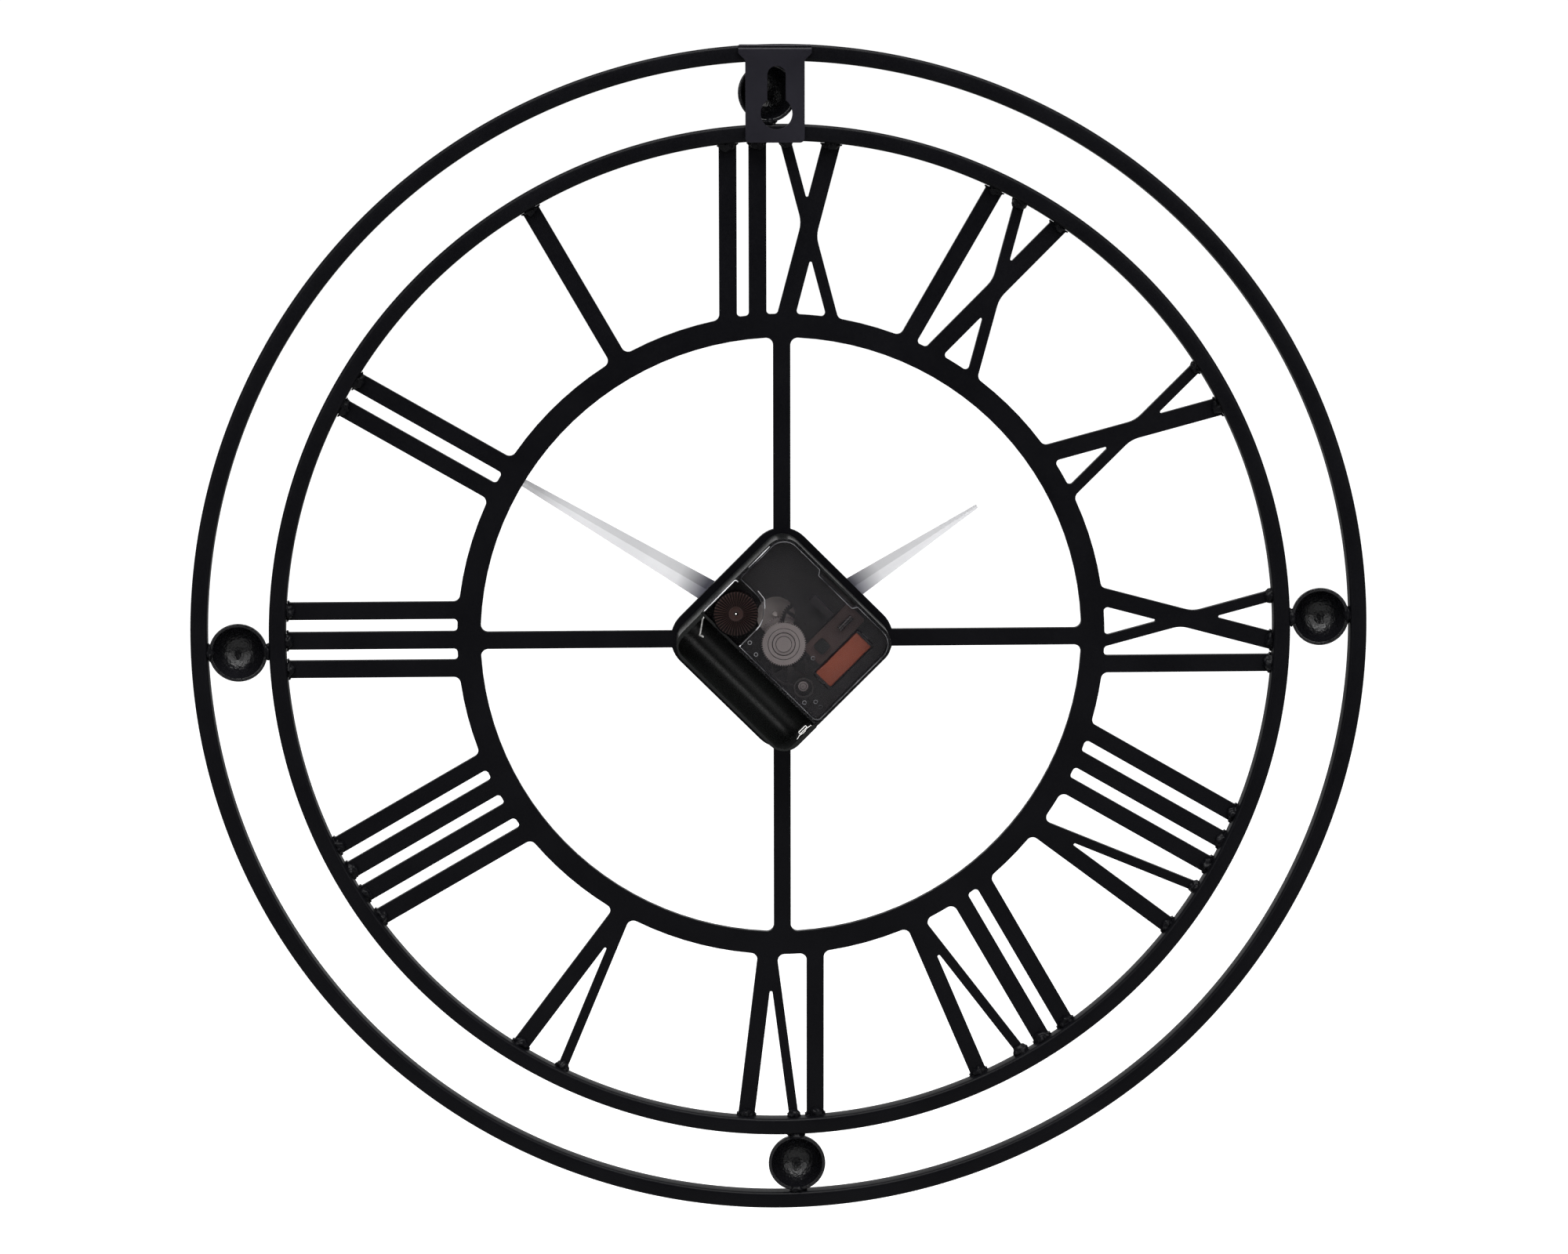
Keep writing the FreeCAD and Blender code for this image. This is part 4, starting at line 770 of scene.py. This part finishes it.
pin_mark = [(0.5 * MM, cover_back - 0.5 * MM), (0.5 * MM, cover_back - 0.25 * MM),
            (0.62 * MM, cover_back - 0.2 * MM), (0.74 * MM, cover_back - 0.25 * MM),
            (0.74 * MM, cover_back - 0.5 * MM)]
mark_mesh = bmesh.new()
for u, v in ((4.6, -9.0), (-10.2, 3.8), (-21.5, -6.3), (-19.0, -9.2), (-24.0, -6.4), (9.0, -7.6)):
    turned(mark_mesh, pin_mark, in_movement(u, v, 0.0), segments=28)
# The ejector marks take the same painted highlight colour as the ribs.
marks = piece_from("ejector_marks", mark_mesh, rib_painted_highlight, 60.0)
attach(marks, "clock")


# ---- setting knob -----------------------------------------------------------------------------
# A dark brown moulded knob with ridges spreading from its hub, for a fingertip to turn the hands;
# it is pressed on its shaft and a bright pin end shows in the middle.

knob_plastic = grained_material(
    "brown_knob_moulding", colour=(0.0042, 0.0024, 0.0022), mottle=(0.0062, 0.0036, 0.0032),
    gloss=(0.3, 0.42), grain_scale=1500.0, bump=0.3, Specular_IOR_Level=0.15)
# The ridges and hub rings are coloured a lighter brown than the knob's body.
ridge_plastic = grained_material(
    "lighter_knob_ridges", colour=(0.0165, 0.0067, 0.0058), mottle=(0.0245, 0.0106, 0.0087),
    gloss=(0.28, 0.4), grain_scale=1500.0, bump=0.2, Specular_IOR_Level=0.3)
knob_axis = Vector(joints["knob_turn"]["pos_m"])
knob_centre = Vector((knob_axis.x, 0, knob_axis.z))
knob_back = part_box("setting_knob")[1][1]
ridge_rise = 0.45 * MM
ridge_foot = knob_back - ridge_rise - 0.1 * MM
knob = worked_copy("setting_knob", "setting_knob_moulding", knob_plastic, edge=0.2 * MM)
lower_back(knob, knob_back, drop=ridge_rise)
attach(knob, "knob")

ridge_count = 42
ridge_stations = ((2.5, 0.07, 0.12), (2.9, 0.08, 0.0), (7.0, 0.21, 0.0), (7.45, 0.22, 0.2))
ridge_mesh = bmesh.new()
for index in range(ridge_count):
    angle = 2 * math.pi * index / ridge_count
    out = Vector((math.cos(angle), 0, math.sin(angle)))
    side_way = Vector((-out.z, 0, out.x))
    ridge_rows = []
    for reach, half, drop in ridge_stations:
        base = knob_centre + out * reach * MM
        top = knob_back - drop * MM
        ridge_rows.append([
            ridge_mesh.verts.new(base + side_way * across * half * MM + Vector((0, level, 0)))
            for across, level in ((-1.0, ridge_foot), (-0.55, top), (0.55, top), (1.0, ridge_foot))])
    skin(ridge_mesh, ridge_rows)
turned(ridge_mesh, rounded_section(0.75 * MM, 2.45 * MM, ridge_foot, knob_back - 0.12 * MM,
                                   0.1 * MM, 2), knob_centre, segments=64)
turned(ridge_mesh, rounded_section(2.2 * MM, 2.5 * MM, ridge_foot, knob_back, 0.1 * MM, 2),
       knob_centre, segments=64)
ridges = piece_from("knob_ridges", ridge_mesh, ridge_plastic, 40.0)
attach(ridges, "knob")

pin_foot = knob_back - ridge_rise - 0.2 * MM
pin_mesh = bmesh.new()
turned(pin_mesh, [(pole_radius, knob_back - 0.05 * MM), (0.18 * MM, knob_back - 0.08 * MM),
                  (0.3 * MM, knob_back - 0.2 * MM), (0.3 * MM, pin_foot),
                  (pole_radius, pin_foot)], knob_centre, segments=32)
bmesh.ops.remove_doubles(pin_mesh, verts=pin_mesh.verts, dist=0.001 * MM)
pin = piece_from("knob_pin", pin_mesh, contact_metal, 40.0)
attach(pin, "knob")


# ---- hands ------------------------------------------------------------------------------------
# Aluminium strip folded along the middle and riveted to brass collets, which are pressed onto the
# tubes: satin silver in front and along the blades, with a painted dark reflection on the backs near
# the hub.

finish(turned_brass, "minute_tube", "hour_collet", "minute_collet", "cap_nut")
silver = grained_material(
    "satin_silver_hand", colour=(0.6, 0.6, 0.615), mottle=(0.68, 0.68, 0.695),
    gloss=(0.3, 0.38), grain_scale=900.0, bump=0.15, Metallic=0.25)
silver_tree = silver.node_tree
silver_shader = silver_tree.nodes["Principled BSDF"]
silver_colour = next(node for node in silver_tree.nodes if node.type == "GROUP").outputs["Colour"]
# The backs are coloured dark grey blue within 31 mm of the axis, fading to silver by 41 mm: a
# painted dark reflection.
painted_dark_reflection = (0.1, 0.1, 0.125, 1)
dark_reflection_until = 31 * MM
bright_from = 41 * MM
hand_place = silver_tree.nodes.new("ShaderNodeTexCoord")
from_axis = silver_tree.nodes.new("ShaderNodeVectorMath")
from_axis.operation = "DISTANCE"
from_axis.inputs[1].default_value = (hand_axis.x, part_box("minute_hand")[0][1], hand_axis.z)
silver_tree.links.new(hand_place.outputs["Object"], from_axis.inputs[0])
outer_blade = remap(silver_tree, from_axis.outputs["Value"], 0.0, 1.0, dark_reflection_until, bright_from)
face_way = silver_tree.nodes.new("ShaderNodeSeparateXYZ")
silver_tree.links.new(hand_place.outputs["Normal"], face_way.inputs["Vector"])
front_side = remap(silver_tree, face_way.outputs["Y"], 1.0, 0.0, 0.1, 0.3)
bright = silver_tree.nodes.new("ShaderNodeMath")
bright.operation = "MAXIMUM"
silver_tree.links.new(outer_blade, bright.inputs[0])
silver_tree.links.new(front_side, bright.inputs[1])
hand_colour = blend_colour(silver_tree, bright.outputs["Value"], painted_dark_reflection, silver_colour)
silver_tree.links.new(hand_colour, silver_shader.inputs["Base Color"])
finish(silver, "hour_hand", "minute_hand")


# ---- room -------------------------------------------------------------------------------------
# A pale floor under the clock, soft light all round, and the view from behind and a little above.

scene = bpy.context.scene
scene.view_settings.view_transform = "Standard"
floor_gap = 0.12
floor_half = 6.0
floor_material, floor_tree, floor_shader = blank_material("pale_floor")
floor_shader.inputs["Base Color"].default_value = (0.4, 0.4, 0.4, 1)
floor_shader.inputs["Roughness"].default_value = 0.8
floor_shader.inputs["Emission Color"].default_value = (1, 1, 1, 1)
seen = floor_tree.nodes.new("ShaderNodeLightPath")
floor_tree.links.new(remap(floor_tree, seen.outputs["Is Camera Ray"], 0.02, 1.0),
                     floor_shader.inputs["Emission Strength"])
floor_mesh = bmesh.new()
bmesh.ops.create_grid(floor_mesh, x_segments=1, y_segments=1, size=floor_half,
                      matrix=Matrix.Translation((0, 0, cad_box[0][2] - floor_gap)))
floor = piece_from("floor", floor_mesh, floor_material)

world = bpy.data.worlds.new("studio")
scene.world = world
world.use_nodes = True
sky = world.node_tree
backdrop = sky.nodes["Background"]
backdrop.inputs["Color"].default_value = (1, 1, 1, 1)
backdrop.inputs["Strength"].default_value = 1.05
room_light = sky.nodes.new("ShaderNodeBackground")
light_way = sky.nodes.new("ShaderNodeTexCoord")
way_parts = sky.nodes.new("ShaderNodeSeparateXYZ")
sky.links.new(light_way.outputs["Generated"], way_parts.inputs["Vector"])
glow = remap(sky, way_parts.outputs["Y"], 0.9, 0.035, -0.35, 0.25)
sky.links.new(glow, room_light.inputs["Strength"])
ray = sky.nodes.new("ShaderNodeLightPath")
chosen = sky.nodes.new("ShaderNodeMixShader")
sky.links.new(ray.outputs["Is Camera Ray"], chosen.inputs["Fac"])
sky.links.new(room_light.outputs["Background"], chosen.inputs[1])
sky.links.new(backdrop.outputs["Background"], chosen.inputs[2])
sky.links.new(chosen.outputs["Shader"], sky.nodes["World Output"].inputs["Surface"])


def softbox(name, azimuth, elevation, distance, width, height, power):
    """An area light aimed at the clock's centre; azimuth 180 is straight behind it."""
    turn = math.radians(azimuth)
    rise = math.radians(elevation)
    way = Vector((math.sin(turn) * math.cos(rise), -math.cos(turn) * math.cos(rise),
                  math.sin(rise)))
    lamp = bpy.data.lights.new(name, "AREA")
    lamp.shape = "RECTANGLE"
    lamp.size = width
    lamp.size_y = height
    lamp.energy = power
    holder = bpy.data.objects.new(name, lamp)
    holder.location = clock_centre + way * distance
    holder.rotation_euler = way.to_track_quat("Z", "Y").to_euler()
    scene.collection.objects.link(holder)


softbox("left_softbox", azimuth=220, elevation=24, distance=1.6, width=1.0, height=1.2, power=9)
softbox("right_softbox", azimuth=140, elevation=24, distance=1.6, width=1.0, height=1.2, power=9)
softbox("top_softbox", azimuth=180, elevation=66, distance=1.5, width=1.6, height=0.9, power=40)

view_distance = 1.2428
view_side = math.radians(2.50)
view_rise = math.radians(8.534)
view_roll = math.radians(-0.064)
aim = clock_centre + Vector((-0.0005, -0.0022, 0.0045))
towards_camera = Vector((math.cos(view_rise) * math.sin(view_side),
                         math.cos(view_rise) * math.cos(view_side), math.sin(view_rise)))
camera_data = bpy.data.cameras.new("camera")
camera_data.lens = 82.8
camera_data.sensor_width = 36.0
camera = bpy.data.objects.new("camera", camera_data)
camera.location = aim + towards_camera * view_distance
camera.rotation_mode = "QUATERNION"
camera.rotation_quaternion = (towards_camera.to_track_quat("Z", "Y")
                              @ Matrix.Rotation(view_roll, 4, "Z").to_quaternion())
scene.collection.objects.link(camera)
scene.camera = camera
